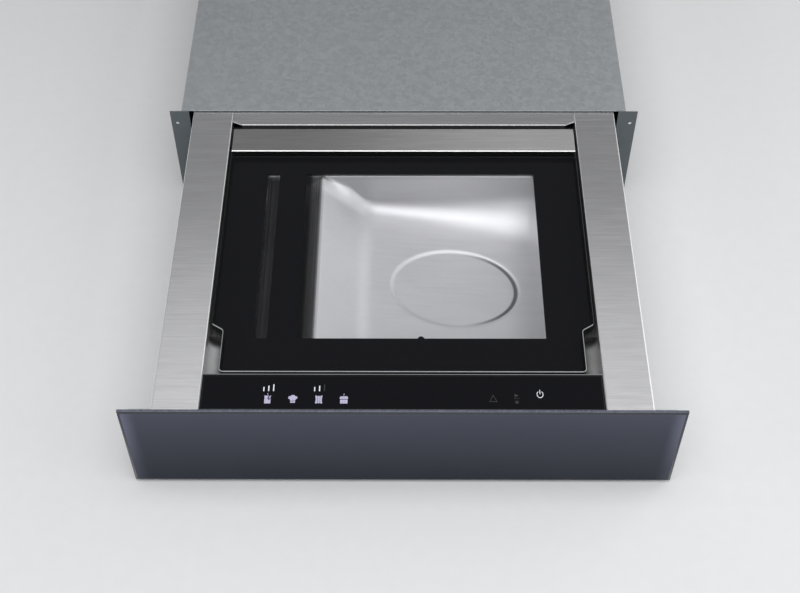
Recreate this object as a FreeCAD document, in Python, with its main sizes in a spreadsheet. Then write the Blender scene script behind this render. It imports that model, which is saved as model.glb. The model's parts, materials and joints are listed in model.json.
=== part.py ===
"""Built-in vacuum sealing drawer, modelled as an assembly of separate pieces.

Millimetres, +Z up.  The drawer's front faces -Y.  The origin is on the niche floor, in the
middle of the housing's front edge.  Every piece is drawn with the drawer closed; the pieces
that ride on the runners are then placed forward by their share of the drawer's travel, so the
model stands with the drawer pulled out and the glass lid shut.
"""
import FreeCAD, Part
import math
import os
import Sketcher
from FreeCAD import Placement, Rotation, Vector

DOC = FreeCAD.newDocument("VacuumSealingDrawer")
SHEET = DOC.addObject("Spreadsheet::Sheet", "Dimensions")
NODES = {}

# Driving dimensions: alias, value in millimetres, what it measures.
DIMENSIONS = [
    ("front_width", 597, "glass front, side to side"),
    ("front_height", 135, "glass front, bottom to top"),
    ("front_lift", 3, "gap below the glass front"),
    ("front_glass_thk", 4, "glass front thickness"),
    ("front_proud", 23, "glass face ahead of the housing, drawer closed"),
    ("bevel_width", 3, "polished bevel round the glass front, seen from the front"),
    ("bevel_depth", 1.2, "polished bevel, depth into the glass"),
    ("carrier_inset", 8.5, "front carrier, step in from the sides of the glass"),
    ("carrier_depth", 12, "front carrier, depth behind the glass"),
    ("carrier_lift", 5, "front carrier, step up from the bottom of the glass"),
    ("carrier_top_drop", 17, "front carrier, top edge below the deck"),
    ("carrier_lip", 14, "front carrier, width of its rear lips"),
    ("sheet_steel", 1.2, "thickness of the folded sheet parts"),
    ("stout_steel", 1.5, "thickness of deck pan, basin and lid bar"),
    ("housing_width", 556, "housing, side to side"),
    ("housing_depth", 530, "housing, front to back"),
    ("housing_height", 141, "housing, bottom to top"),
    ("flange_inset", 9, "fixing flange, reach inwards from the housing's side"),
    ("flange_reach", 15, "fixing flange, reach outwards from the housing's side"),
    ("fixing_reach", 7.5, "fixing holes outwards from the housing's side"),
    ("fixing_low", 20, "lower fixing holes above the niche floor"),
    ("fixing_rise", 100, "upper fixing holes above the lower ones"),
    ("fixing_radius", 2.25, "fixing hole radius"),
    ("drawer_travel", 430, "pull-out of the drawer"),
    ("runner_room", 14.8, "side trim in from the housing's side, outer faces"),
    ("latch_room", 29, "closed drawer's rear edge ahead of the housing's rear"),
    ("tray_lift", 5, "drawer tray above the niche floor"),
    ("rail_width", 50, "brushed side trim, width"),
    ("rail_skirt", 15.5, "brushed side trim, height of its outer skirt"),
    ("control_depth", 43, "control glass, front to back"),
    ("control_glass_thk", 4, "control glass thickness"),
    ("bezel_edge", 2.2, "light trim line beside the control glass"),
    ("bezel_rear", 2.6, "light trim line behind the control glass"),
    ("bezel_height", 8, "control bezel height"),
    ("bezel_ledge", 6, "ledge that carries the control glass"),
    ("board_thk", 1.6, "circuit board thickness"),
    ("lid_gap", 2.9, "gap between control bezel and lid"),
    ("lid_side_gap", 3.4, "gap between glass lid and side trim"),
    ("machine_room", 94, "rear deck strip's front edge to the drawer's rear edge"),
    ("lid_glass_thk", 10, "glass lid thickness"),
    ("lid_chamfer", 0.8, "polished edge of the lid glass"),
    ("notch_width", 13.3, "finger notch, how far the lid steps in"),
    ("notch_length", 62, "finger notch, front to back"),
    ("notch_radius", 6.5, "finger notch, corner radius"),
    ("scoop_radius", 13.2, "finger scoop in the deck pan"),
    ("scoop_length", 62, "finger scoop, front to back"),
    ("bar_depth", 40, "hinge bar of the lid, front to back"),
    ("bar_flange", 15.5, "hinge bar, lip under the glass"),
    ("bar_rear_wall", 6, "hinge bar, height of its rear wall"),
    ("bar_gap", 6, "gap between hinge bar and rear deck strip"),
    ("hinge_axis_in", 8.5, "hinge axis ahead of the bar's rear face"),
    ("hinge_axis_drop", 7.5, "hinge axis below the deck"),
    ("hinge_inset", 13.8, "hinge, middle of its arm in from the lid's side"),
    ("hinge_arm_thk", 4, "hinge arm thickness"),
    ("hinge_ear_thk", 3, "hinge bracket ear thickness"),
    ("hinge_ear_gap", 2, "gap between arm and ear"),
    ("washer_play", 0.1, "play on each side of a friction washer"),
    ("hinge_radius", 5.5, "round end of hinge arm and ears"),
    ("pin_radius", 3, "hinge pin radius"),
    ("running_fit", 0.05, "radial clearance of a turning or sliding fit"),
    ("strip_depth", 43, "rear deck strip, front to back"),
    ("strip_corner_x", 12, "rear deck strip, corner cut, sideways"),
    ("strip_corner_y", 6, "rear deck strip, corner cut, front to back"),
    ("gasket_height", 4.7, "lid gasket height"),
    ("gasket_width", 8, "lid gasket width"),
    ("soft_gap", 0.3, "clearance between gasket and rim"),
    ("chamber_front_in", 34.5, "chamber's front wall behind the lid's front edge"),
    ("chamber_back_in", 29, "chamber's rear wall ahead of the lid's rear edge"),
    ("chamber_left_in", 36.8, "chamber's left wall in from the lid's side"),
    ("chamber_right_in", 39.8, "chamber's right wall in from the lid's side"),
    ("trough_drop", 48, "seal trough floor below the deck"),
    ("trough_width", 50, "seal trough floor, side to side"),
    ("ridge_slope", 23, "slope from the trough floor up to the ridge, side to side"),
    ("ridge_width", 5, "flat top of the ridge, side to side"),
    ("ramp_width", 51, "ramp from the ridge down to the floor, side to side"),
    ("ramp_drop", 63.5, "foot of the ramp below the deck"),
    ("floor_drop", 82, "chamber floor at the right wall, below the deck"),
    ("chamber_fillet", 12, "round corners inside the chamber"),
    ("trough_fillet", 8, "round corners inside the seal trough"),
    ("rim_side", 12, "chamber rim, width"),
    ("oval_x", 62, "stamped oval, centre to the right of the centre line"),
    ("oval_behind", 7, "stamped oval, centre behind the middle of the chamber"),
    ("oval_half_x", 75.5, "stamped oval, half its width"),
    ("oval_half_y", 57.5, "stamped oval, half its depth"),
    ("oval_sink", 0.7, "stamped oval, depth"),
    ("seal_in", 18.5, "seal bar's centre line in from the chamber's left wall"),
    ("seal_end_gap", 9, "gap between seal bar and each end of the chamber"),
    ("seal_width", 16, "seal bar width"),
    ("seal_height", 17, "seal bar height"),
    ("seal_top_drop", 23, "seal bar's body below the deck, lowered"),
    ("band_width", 5, "heating band width"),
    ("band_thk", 0.4, "heating band thickness"),
    ("cover_thk", 0.6, "cover strip thickness"),
    ("counter_width", 14.4, "counter strip width"),
    ("counter_end_gap", 10, "counter strip in from each end of the chamber"),
    ("counter_height", 5.3, "counter strip height"),
    ("lift_stroke", 6, "seal bar stroke"),
    ("rod_radius", 6, "lifting rod radius"),
    ("rod_inset", 47.5, "lifting rods in from the ends of the seal bar"),
    ("cylinder_radius", 12, "lifting cylinder radius"),
    ("cylinder_height", 34, "lifting cylinder height"),
    ("runner_axis", 60, "middle of the runners above the niche floor"),
    ("runner_height", 45, "outer runner member height"),
    ("runner_rear", 32, "runner members ahead of the housing's rear"),
    ("runner_front", 8, "runner members behind the housing's front"),
    ("runner_sheet", 1.5, "outer runner member thickness"),
    ("outer_ball", 1.85, "ball radius between outer and middle members"),
    ("inner_ball", 2.2, "ball radius between middle and inner members"),
    ("ball_play", 0.15, "play above and below a ball"),
    ("cage_length", 160, "ball cage length"),
    ("cage_strip", 0.8, "ball cage thickness"),
    ("rivet_radius", 2, "rivet radius"),
    ("plunger_radius", 5, "latch plunger radius"),
    ("plunger_gap", 0.3, "gap between closed drawer and plunger"),
    ("gland_radius", 8, "cable gland, shank radius"),
    ("gland_bore", 4.6, "cable gland, bore radius"),
    ("motor_radius", 40, "pump motor radius"),
    ("motor_length", 130, "pump motor length"),
    ("motor_axis", 60, "pump motor axis above the niche floor"),
    ("fan_radius", 34, "motor fan radius"),
    ("hose_radius", 5, "vacuum hose radius"),
]


class Size:
    """A length that knows its sheet expression and its present value."""

    def __init__(self, text, number):
        self.text = text
        self.number = float(number)

    def __add__(self, other):
        other = as_size(other)
        return Size(f"({self.text} + {other.text})", self.number + other.number)

    def __sub__(self, other):
        other = as_size(other)
        return Size(f"({self.text} - {other.text})", self.number - other.number)

    def __rsub__(self, other):
        return as_size(other) - self

    def __mul__(self, other):
        other = as_size(other)
        return Size(f"({self.text} * {other.text})", self.number * other.number)

    def __truediv__(self, other):
        other = as_size(other)
        return Size(f"({self.text} / {other.text})", self.number / other.number)

    def __neg__(self):
        return Size(f"(-1 * {self.text})", -self.number)

    __radd__ = __add__
    __rmul__ = __mul__


def as_size(value):
    return value if isinstance(value, Size) else Size(f"{value:g}", value)


class Dimensions:
    """The sheet's cells by alias."""


def fill_sheet():
    """Writes the driving dimensions as text cells with aliases."""
    dims = Dimensions()
    for row, (alias, value, note) in enumerate(DIMENSIONS, start=1):
        SHEET.set(f"A{row}", note)
        SHEET.set(f"B{row}", str(value))
        SHEET.setAlias(f"B{row}", alias)
        setattr(dims, alias, Size(f"Dimensions.{alias}", value))
    DOC.recompute()
    return dims


d = fill_sheet()

# Planes that several pieces share, closed drawer.
middle_plane = as_size(0)
house_front = as_size(0)
niche_floor = as_size(0)
deck_top = d.front_lift + d.front_height
deck_front = d.front_glass_thk - d.front_proud
house_half = d.housing_width / 2
house_inner = house_half - d.sheet_steel
drawer_half = house_half - d.runner_room
deck_half = drawer_half - d.rail_width
tray_half = drawer_half - d.sheet_steel
rail_under = deck_top - d.sheet_steel
drawer_back = d.housing_depth - d.latch_room
runner_length = d.housing_depth - d.runner_front - d.runner_rear
bezel_back = deck_front + d.control_depth + d.bezel_rear
bezel_under = deck_top - d.bezel_height
lid_front = bezel_back + d.lid_gap
lid_under = deck_top - d.lid_glass_thk
lid_half = deck_half - d.lid_side_gap
strip_front = drawer_back - d.machine_room
bar_back = strip_front - d.bar_gap
lid_back = bar_back - d.bar_depth
rim_top = lid_under - d.gasket_height
rim_plane = rim_top - d.soft_gap
pan_top = rim_plane - d.stout_steel
pan_under = pan_top - d.stout_steel
chamber_front = lid_front + d.chamber_front_in
chamber_back = lid_back - d.chamber_back_in
chamber_length = chamber_back - chamber_front
chamber_left = lid_half - d.chamber_left_in
chamber_right = lid_half - d.chamber_right_in
trough_floor_right = chamber_left - d.trough_width
ridge_left = trough_floor_right - d.ridge_slope
ridge_right = ridge_left - d.ridge_width
ramp_foot = ridge_right - d.ramp_width
seal_x = chamber_left - d.seal_in
seal_length = chamber_length - 2 * d.seal_end_gap
counter_length = chamber_length - 2 * d.counter_end_gap
rod_spacing = seal_length - 2 * d.rod_inset
hinge_side = lid_half - d.hinge_inset
hinge_y = bar_back - d.hinge_axis_in
hinge_z = deck_top - d.hinge_axis_drop
tray_floor = d.tray_lift + d.sheet_steel
housing_roof = d.housing_height - d.sheet_steel
carrier_back = deck_front + d.carrier_depth
carrier_top = deck_top - d.carrier_top_drop
carrier_low = d.front_lift + d.carrier_lift


def bind(obj, prop, value):
    """Ties one property to its expression, or sets a plain number."""
    if isinstance(value, Size):
        obj.setExpression(prop, value.text)
        return
    if "." not in prop:
        setattr(obj, prop, value)
        return
    obj.setExpression(prop, f"{value:g}")


def place(obj, x=0, y=0, z=0):
    """Binds the placement of an object to three lengths."""
    for axis, value in (("x", x), ("y", y), ("z", z)):
        if isinstance(value, Size) or value != 0:
            bind(obj, f"Placement.Base.{axis}", value)
    return obj


def box(name, xs, ys, zs):
    """Block between two values on each axis."""
    block = DOC.addObject("Part::Box", name)
    bind(block, "Length", xs[1] - xs[0])
    bind(block, "Width", ys[1] - ys[0])
    bind(block, "Height", zs[1] - zs[0])
    return place(block, xs[0], ys[0], zs[0])


TURNS = {
    "x": Rotation(Vector(0, 1, 0), 90),
    "y": Rotation(Vector(1, 0, 0), -90),
    "z": Rotation(),
}


def rod(name, axis, start, radius, length):
    """Cylinder that runs from start along the positive axis."""
    cylinder = DOC.addObject("Part::Cylinder", name)
    bind(cylinder, "Radius", radius)
    bind(cylinder, "Height", length)
    cylinder.Placement = Placement(Vector(), TURNS[axis])
    return place(cylinder, *start)


def ball(name, centre, radius):
    sphere = DOC.addObject("Part::Sphere", name)
    bind(sphere, "Radius", radius)
    return place(sphere, *centre)


def join(name, pieces):
    fused = DOC.addObject("Part::MultiFuse", name)
    fused.Shapes = list(pieces)
    return fused


def cut(name, base, tools):
    """Base less one or more tools."""
    result = DOC.addObject("Part::Cut", name)
    result.Base = base
    result.Tool = tools[0] if len(tools) == 1 else join(f"{name}_tools", tools)
    return result


def group(name, pieces):
    """Separate solids that share one node."""
    compound = DOC.addObject("Part::Compound", name)
    compound.Links = list(pieces)
    return compound


def span(side, near, far):
    """Stretch on the left (-1) or right (+1) of the centre line."""
    return (near, far) if side > 0 else (-far, -near)


def keep(node, obj, share=0.0):
    """Names a finished piece and moves it forward by its share of the drawer's travel."""
    obj.Label = node
    if share:
        home = obj.Placement.Base.y
        bound = dict(obj.ExpressionEngine).get(".Placement.Base.y")
        start = bound if bound else f"{home:g}"
        obj.setExpression("Placement.Base.y", f"{start} - {share:g} * Dimensions.drawer_travel")
    NODES[node] = obj
    return obj


def new_body(name):
    return DOC.addObject("PartDesign::Body", name)


def outline(body, name, role, corners):
    """Closed outline of straight sides whose corners are tied to the sheet."""
    sketch = body.newObject("Sketcher::SketchObject", name)
    plane = [feature for feature in body.Origin.OriginFeatures if feature.Role == role][0]
    sketch.AttachmentSupport = (plane, [""])
    sketch.MapMode = "FlatFace"
    points = [(as_size(u), as_size(v)) for u, v in corners]
    count = len(points)
    for index, (u, v) in enumerate(points):
        next_u, next_v = points[(index + 1) % count]
        start = Vector(u.number, v.number, 0)
        end = Vector(next_u.number, next_v.number, 0)
        sketch.addGeometry(Part.LineSegment(start, end))
    for index in range(count):
        sketch.addConstraint(Sketcher.Constraint("Coincident", index, 2, (index + 1) % count, 1))
    for index, (u, v) in enumerate(points):
        for kind, value in (("DistanceX", u), ("DistanceY", v)):
            row = sketch.addConstraint(Sketcher.Constraint(kind, -1, 1, index, 1, value.number))
            sketch.setExpression(f"Constraints[{row}]", value.text)
    return sketch


def pad(body, sketch, length, reverse=False, midplane=False):
    feature = body.newObject("PartDesign::Pad", f"{body.Name}_pad")
    feature.Profile = sketch
    bind(feature, "Length", length)
    feature.Reversed = reverse
    feature.Midplane = midplane
    DOC.recompute()
    return feature


def edges_where(shape, test):
    return [f"Edge{index}" for index, edge in enumerate(shape.Edges, start=1) if test(edge)]


def dress(body, kind, base, edges, **sizes):
    """Fillet or chamfer on chosen edges of the body's last feature."""
    feature = body.newObject(f"PartDesign::{kind}", f"{body.Name}_{kind.lower()}")
    feature.Base = (base, edges)
    for prop, value in sizes.items():
        bind(feature, prop, value)
    DOC.recompute()
    return feature


def section_along_y(node, corners, start, length, share=0.0):
    """Profile in X and Z that runs along Y from start."""
    body = new_body(node)
    sketch = outline(body, f"{node}_section", "XZ_Plane", corners)
    pad(body, sketch, length, reverse=True)
    place(body, y=start)
    return keep(node, body, share)


def is_along(edge, axis):
    """True for a straight edge that runs along one axis."""
    first, last = edge.Vertexes[0].Point, edge.Vertexes[-1].Point
    return len(edge.Vertexes) == 2 and (last - first).cross(axis).Length < 1e-4


def make_front():
    """Bevelled glass, its folded carrier and the screws that hold them to the tray."""
    body = new_body("front_glass")
    half = d.front_width / 2
    corners = [(-half, d.front_lift), (half, d.front_lift), (half, deck_top), (-half, deck_top)]
    sketch = outline(body, "front_glass_outline", "XZ_Plane", corners)
    plate = pad(body, sketch, d.front_glass_thk, reverse=True)
    rim = edges_where(plate.Shape, lambda edge: abs(edge.CenterOfMass.y) < 1e-4)
    bevel = dress(body, "Chamfer", plate, rim)
    bevel.ChamferType = "Two distances"
    bind(bevel, "Size", d.bevel_width)
    bind(bevel, "Size2", d.bevel_depth)
    bevel.FlipDirection = bevel_runs_deep(bevel)
    place(body, y=-d.front_proud)
    keep("front_glass", body, 1)

    side = half - d.carrier_inset
    skin = d.sheet_steel
    shell = box("carrier_block", (-side, side), (deck_front, carrier_back), (carrier_low, carrier_top))
    hollow = box("carrier_hollow", (-side + skin, side - skin), (deck_front + skin, carrier_back - skin),
                 (carrier_low + skin, carrier_top - skin))
    window = box("carrier_window", (-side + d.carrier_lip, side - d.carrier_lip),
                 (carrier_back - 2 * skin, carrier_back + skin),
                 (carrier_low + d.carrier_lip, carrier_top - d.carrier_lip))
    holes = [rod(f"carrier_hole_{index}", "y", (x, carrier_back - 2 * skin, z),
                 d.rivet_radius + 2 * d.running_fit, 3 * skin)
             for index, (x, z) in enumerate(front_screw_places())]
    carrier = cut("front_carrier", shell, [hollow, window] + holes)
    keep("front_carrier", carrier, 1)


def bevel_runs_deep(bevel):
    """True when the wide side of the bevel has to be swapped onto the glass face."""
    DOC.recompute()
    face = max((face for face in bevel.Shape.Faces if abs(face.CenterOfMass.y) < 1e-4),
               key=lambda item: item.Area)
    wanted = d.front_width.number - 2 * d.bevel_width.number
    return abs(face.BoundBox.XLength - wanted) > 1e-3


def front_screw_places():
    """Centres of the six screws between tray and carrier."""
    low = carrier_low + d.carrier_lip / 2
    high = carrier_top - d.carrier_lip / 2
    reach = tray_half - 42
    return [(x, z) for z in (low, high) for x in (-reach, middle_plane, reach)]


def screw(name, axis, seat, shank, reach, head, head_height):
    """Pan-head screw: its head stands on the seat along the positive axis."""
    x, y, z = seat
    offsets = {"x": (x - reach, y, z), "y": (x, y - reach, z), "z": (x, y, z - reach)}
    stem = rod(f"{name}_stem", axis, offsets[axis], shank, reach)
    cap = rod(f"{name}_head", axis, seat, head, head_height)
    return join(name, [stem, cap])


def make_tray():
    """Folded sheet tray that carries everything in the drawer."""
    skin = d.sheet_steel
    block = box("tray_block", (-tray_half, tray_half), (carrier_back, drawer_back),
                (d.tray_lift, rail_under))
    hollow = box("tray_hollow", (-tray_half + skin, tray_half - skin),
                 (carrier_back + skin, drawer_back - skin), (tray_floor, deck_top + skin))
    low_front = box("tray_low_front", (-tray_half + skin, tray_half - skin),
                    (carrier_back - skin, carrier_back + 2 * skin), (pan_under, deck_top))
    low_back = box("tray_low_back", (-tray_half + skin, tray_half - skin),
                   (drawer_back - 2 * skin, drawer_back + skin), (rail_under - skin, deck_top))
    holes = [rod(f"tray_hole_{index}", "y", (x, carrier_back - skin, z),
                 d.rivet_radius + 2 * d.running_fit, 3 * skin)
             for index, (x, z) in enumerate(front_screw_places())]
    slots = []
    pitch, width, count = 24, 14, 8
    first = -tray_half / 3 - pitch * (count - 1) / 2
    for index in range(count):
        left = first + pitch * index
        slots.append(box(f"tray_vent_{index}", (left, left + width),
                         (drawer_back - 2 * skin, drawer_back + skin), (tray_floor + 25, tray_floor + 65)))
    tray = cut("drawer_tray", block, [hollow, low_front, low_back] + holes + slots)
    keep("drawer_tray", tray, 1)

    screws = [screw(f"front_screw_{index}", "y", (x, carrier_back + skin, z), d.rivet_radius,
                    2 * skin + 3, 2 * d.rivet_radius, 2)
              for index, (x, z) in enumerate(front_screw_places())]
    keep("front_screws", group("front_screws", screws), 1)


def make_rails():
    """Brushed side trims with a folded inner edge and an outer skirt."""
    skin = d.sheet_steel
    for name, side in (("left", -1), ("right", 1)):
        profile = [
            (deck_half, pan_top), (deck_half + skin, pan_top), (deck_half + skin, rail_under),
            (tray_half, rail_under), (tray_half, deck_top - d.rail_skirt),
            (tray_half + skin, deck_top - d.rail_skirt), (tray_half + skin, deck_top), (deck_half, deck_top),
        ]
        node = f"rail_cover_{name}"
        body = new_body(node)
        sketch = outline(body, f"{node}_section", "XZ_Plane", [(side * u, v) for u, v in profile])
        bar = pad(body, sketch, drawer_back - deck_front - skin, reverse=True)
        along = Vector(0, 1, 0)
        folds = edges_where(bar.Shape, lambda edge: is_along(edge, along)
                            and abs(edge.CenterOfMass.z - deck_top.number) < 1e-4)
        dress(body, "Fillet", bar, folds, Radius=0.6 * skin)
        place(body, y=deck_front)
        keep(node, body, 1)


def make_deck():
    """Pan under the lid with two finger scoops, its ledges, the rear strip and the rear cover."""
    skin = d.sheet_steel
    wide = tray_half - skin
    pan_back = strip_front + 13
    plate = box("pan_plate", (-wide, wide), (bezel_back - skin, pan_back), (pan_under, pan_top))
    wall = box("pan_front_wall", (-deck_half, deck_half), (bezel_back - skin, bezel_back),
               (pan_top, bezel_under))
    play = 1.5 * d.stout_steel
    opening = box("pan_opening", (-chamber_left - play, chamber_right + play),
                  (chamber_front - play, chamber_back + play), (pan_under - skin, pan_top + skin))
    pieces, tools, scoops = [plate, wall], [opening], []
    for name, side in (("left", -1), ("right", 1)):
        centre = side * (deck_half - d.scoop_radius)
        front = bezel_back + skin
        outer = rod(f"scoop_skin_{name}", "y", (centre, front, pan_top), d.scoop_radius + skin,
                    d.scoop_length)
        inner = rod(f"scoop_void_{name}", "y", (centre, front + skin, pan_top), d.scoop_radius,
                    d.scoop_length - 2 * skin)
        reach = 1.5 * d.scoop_radius
        half = box(f"scoop_upper_{name}", (centre - reach, centre + reach),
                   (front - 1, front + d.scoop_length + 1), (pan_top, pan_top + reach))
        scoops.append(cut(f"scoop_{name}", outer, [half, inner]))
        seat = box(f"scoop_seat_{name}", (centre - d.scoop_radius - skin, centre + d.scoop_radius + skin),
                   (front, front + d.scoop_length), (pan_under - skin, pan_top + skin))
        tools.append(seat)
    pan = cut("pan_sheet", join("pan_plate_and_wall", pieces), tools)
    keep("deck_pan", group("deck_pan", [pan] + scoops), 1)

    ledges = []
    ledge_width, ledge_height = 12.8, 14
    run = (carrier_back + 8, drawer_back - 20)
    for name, side in (("left", -1), ("right", 1)):
        flat = box(f"ledge_flat_{name}", span(side, wide - ledge_width, wide), run,
                   (pan_under - skin, pan_under))
        web = box(f"ledge_web_{name}", span(side, wide - skin, wide), run,
                  (pan_under - ledge_height, pan_under))
        ledges.append(join(f"ledge_{name}", [flat, web]))
    keep("deck_ledges", group("deck_ledges", ledges), 1)

    body = new_body("rear_deck_strip")
    inner, back = deck_half - 0.2, strip_front + d.strip_depth
    corners = [
        (-inner + d.strip_corner_x, strip_front), (inner - d.strip_corner_x, strip_front),
        (inner, strip_front + d.strip_corner_y), (inner, back), (-inner, back),
        (-inner, strip_front + d.strip_corner_y),
    ]
    pad(body, outline(body, "strip_outline", "XY_Plane", corners), skin)
    place(body, z=rail_under)
    fold = box("strip_fold", (-inner + d.strip_corner_x, inner - d.strip_corner_x),
               (strip_front, strip_front + skin), (pan_top, rail_under))
    strip = join("rear_strip", [body, fold])
    keep("rear_deck_strip", strip, 1)

    cover = box("cover_sheet", (-inner, inner), (strip_front + 20, drawer_back),
                (rail_under - skin, rail_under))
    slots = []
    pitch, width = 26, 13
    for index in range(10):
        left = as_size(pitch * (index - 5))
        slots.append(box(f"cover_slot_{index}", (left, left + width),
                         (drawer_back - 40, drawer_back - 12), (rail_under - 2 * skin, deck_top)))
    keep("rear_cover", cut("rear_cover", cover, slots), 1)


def make_controls():
    """Control glass in its bezel, with the board and light guides below."""
    half = deck_half - d.bezel_edge
    glass_under = deck_top - d.control_glass_thk
    glass_back = deck_front + d.control_depth
    block = box("bezel_block", (-deck_half, deck_half), (deck_front, bezel_back), (bezel_under, deck_top))
    pocket = box("bezel_pocket", (-half, half), (deck_front - 1, glass_back), (glass_under, deck_top + 1))
    ledge = d.bezel_ledge
    window = box("bezel_window", (-half + ledge, half - ledge), (deck_front + ledge, glass_back - ledge),
                 (bezel_under - 1, deck_top + 1))
    keep("control_bezel", cut("control_bezel", block, [pocket, window]), 1)
    keep("control_glass", box("control_glass", (-half, half), (deck_front, glass_back),
                              (glass_under, deck_top)), 1)

    board_half = half - 1.5 * ledge
    board_top = bezel_under
    board_low = board_top - d.board_thk
    parts = [box("board_plate", (-board_half - ledge, board_half + ledge),
                 (deck_front + ledge - 2, glass_back - ledge + 2), (board_low, board_top))]
    for index, (x, width) in enumerate(((-120, 26), (-30, 40), (60, 18), (130, 30))):
        parts.append(box(f"board_chip_{index}", (as_size(x), as_size(x + width)),
                         (deck_front + 2 * ledge, deck_front + 2 * ledge + 14), (board_low - 3, board_low)))
    keep("control_board", join("control_board", parts), 1)

    guides = [box(f"guide_{index}", (as_size(low), as_size(high)),
                  (deck_front + ledge + 2, glass_back - ledge - 2), (board_top, glass_under))
              for index, (low, high) in enumerate(((-156, -48), (84, 156)))]
    keep("light_guides", group("light_guides", guides), 1)


def cavity(name, corners, fillet):
    """Hollow of the chamber with round corners, open at the rim plane."""
    body = new_body(f"{name}_block")
    sketch = outline(body, f"{name}_section", "XZ_Plane", corners)
    pad(body, sketch, chamber_length, reverse=True)
    place(body, y=chamber_front)
    DOC.recompute()
    low = rim_plane.number - 0.05
    hollow = DOC.addObject("Part::Fillet", name)
    hollow.Base = body
    hollow.Edges = [(index, fillet.number, fillet.number)
                    for index, edge in enumerate(body.Shape.Edges, start=1) if edge.CenterOfMass.z < low]
    return hollow


def skin_of(name, hollow):
    """Sheet-steel wall round a cavity, open at the top."""
    DOC.recompute()
    tops = [f"Face{index}" for index, face in enumerate(hollow.Shape.Faces, start=1)
            if abs(face.CenterOfMass.z - rim_plane.number) < 1e-3]
    wall = DOC.addObject("Part::Thickness", name)
    wall.Faces = (hollow, tops)
    bind(wall, "Value", d.stout_steel)
    return wall


def make_chamber():
    """Pressed basin: seal trough on the left, ridge, ramp and sloping floor with an oval."""
    deep = [
        (-ridge_right, rim_plane), (-ramp_foot, deck_top - d.ramp_drop),
        (chamber_right, deck_top - d.floor_drop), (chamber_right, rim_plane),
    ]
    trough = [
        (-chamber_left, rim_plane), (-chamber_left, deck_top - d.trough_drop),
        (-trough_floor_right, deck_top - d.trough_drop), (-ridge_left, rim_plane),
    ]
    deep_hollow = cavity("chamber_hollow", deep, d.chamber_fillet)
    trough_hollow = cavity("trough_hollow", trough, d.trough_fillet)
    walls = [skin_of("chamber_walls", deep_hollow), skin_of("trough_walls", trough_hollow)]
    rim = box("chamber_rim", (-chamber_left - d.rim_side, chamber_right + d.rim_side),
              (chamber_front - d.rim_side, chamber_back + d.rim_side), (pan_top, rim_plane))
    tools = [deep_hollow, trough_hollow]
    for index, y in enumerate(rod_places()):
        tools.append(rod(f"floor_hole_{index}", "z", (-seal_x, y, deck_top - d.trough_drop - 5),
                         d.rod_radius + 2 * d.running_fit, 10))
    tools.append(rod("suction_hole", "y", (suction_x(), chamber_back - 2, suction_z()),
                     d.hose_radius + 1, 6))
    tools.append(oval_tool())
    basin = cut("chamber_basin", join("basin_sheet", walls + [rim]), tools)
    keep("chamber_basin", basin, 1)

    disc = rod("cap_disc", "y", (suction_x(), chamber_back - 4, suction_z()), d.hose_radius + 4, 4)
    stem = rod("cap_stem", "y", (suction_x(), chamber_back, suction_z()), d.hose_radius + 1,
               d.stout_steel + 12)
    keep("suction_cap", join("suction_cap", [disc, stem]), 1)


def suction_x():
    return -trough_floor_right - 11


def suction_z():
    return rim_plane - 15


def rod_places():
    """Positions of the lifting rods along Y."""
    middle = chamber_front + chamber_length / 2
    return (middle - rod_spacing / 2, middle + rod_spacing / 2)


def oval_tool():
    """Shallow oval recess that follows the slope of the chamber floor."""
    run = chamber_right.number + ramp_foot.number
    fall = d.floor_drop.number - d.ramp_drop.number
    slope = math.atan2(fall, run)
    x = d.oval_x.number
    floor_z = deck_top.number - d.ramp_drop.number - (x + ramp_foot.number) * fall / run
    ellipse = Part.Ellipse(Vector(), d.oval_half_x.number, d.oval_half_y.number)
    face = Part.Face(Part.Wire([ellipse.toShape()]))
    tool = DOC.addObject("Part::Feature", "oval_tool")
    tool.Shape = face.extrude(Vector(0, 0, d.oval_sink.number + 5))
    y = (chamber_front + chamber_back).number / 2 + d.oval_behind.number
    turn = Rotation(Vector(0, 1, 0), math.degrees(slope))
    low = turn.multVec(Vector(0, 0, -d.oval_sink.number))
    tool.Placement = Placement(Vector(x, y, floor_z) + low, turn)
    return tool


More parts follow.
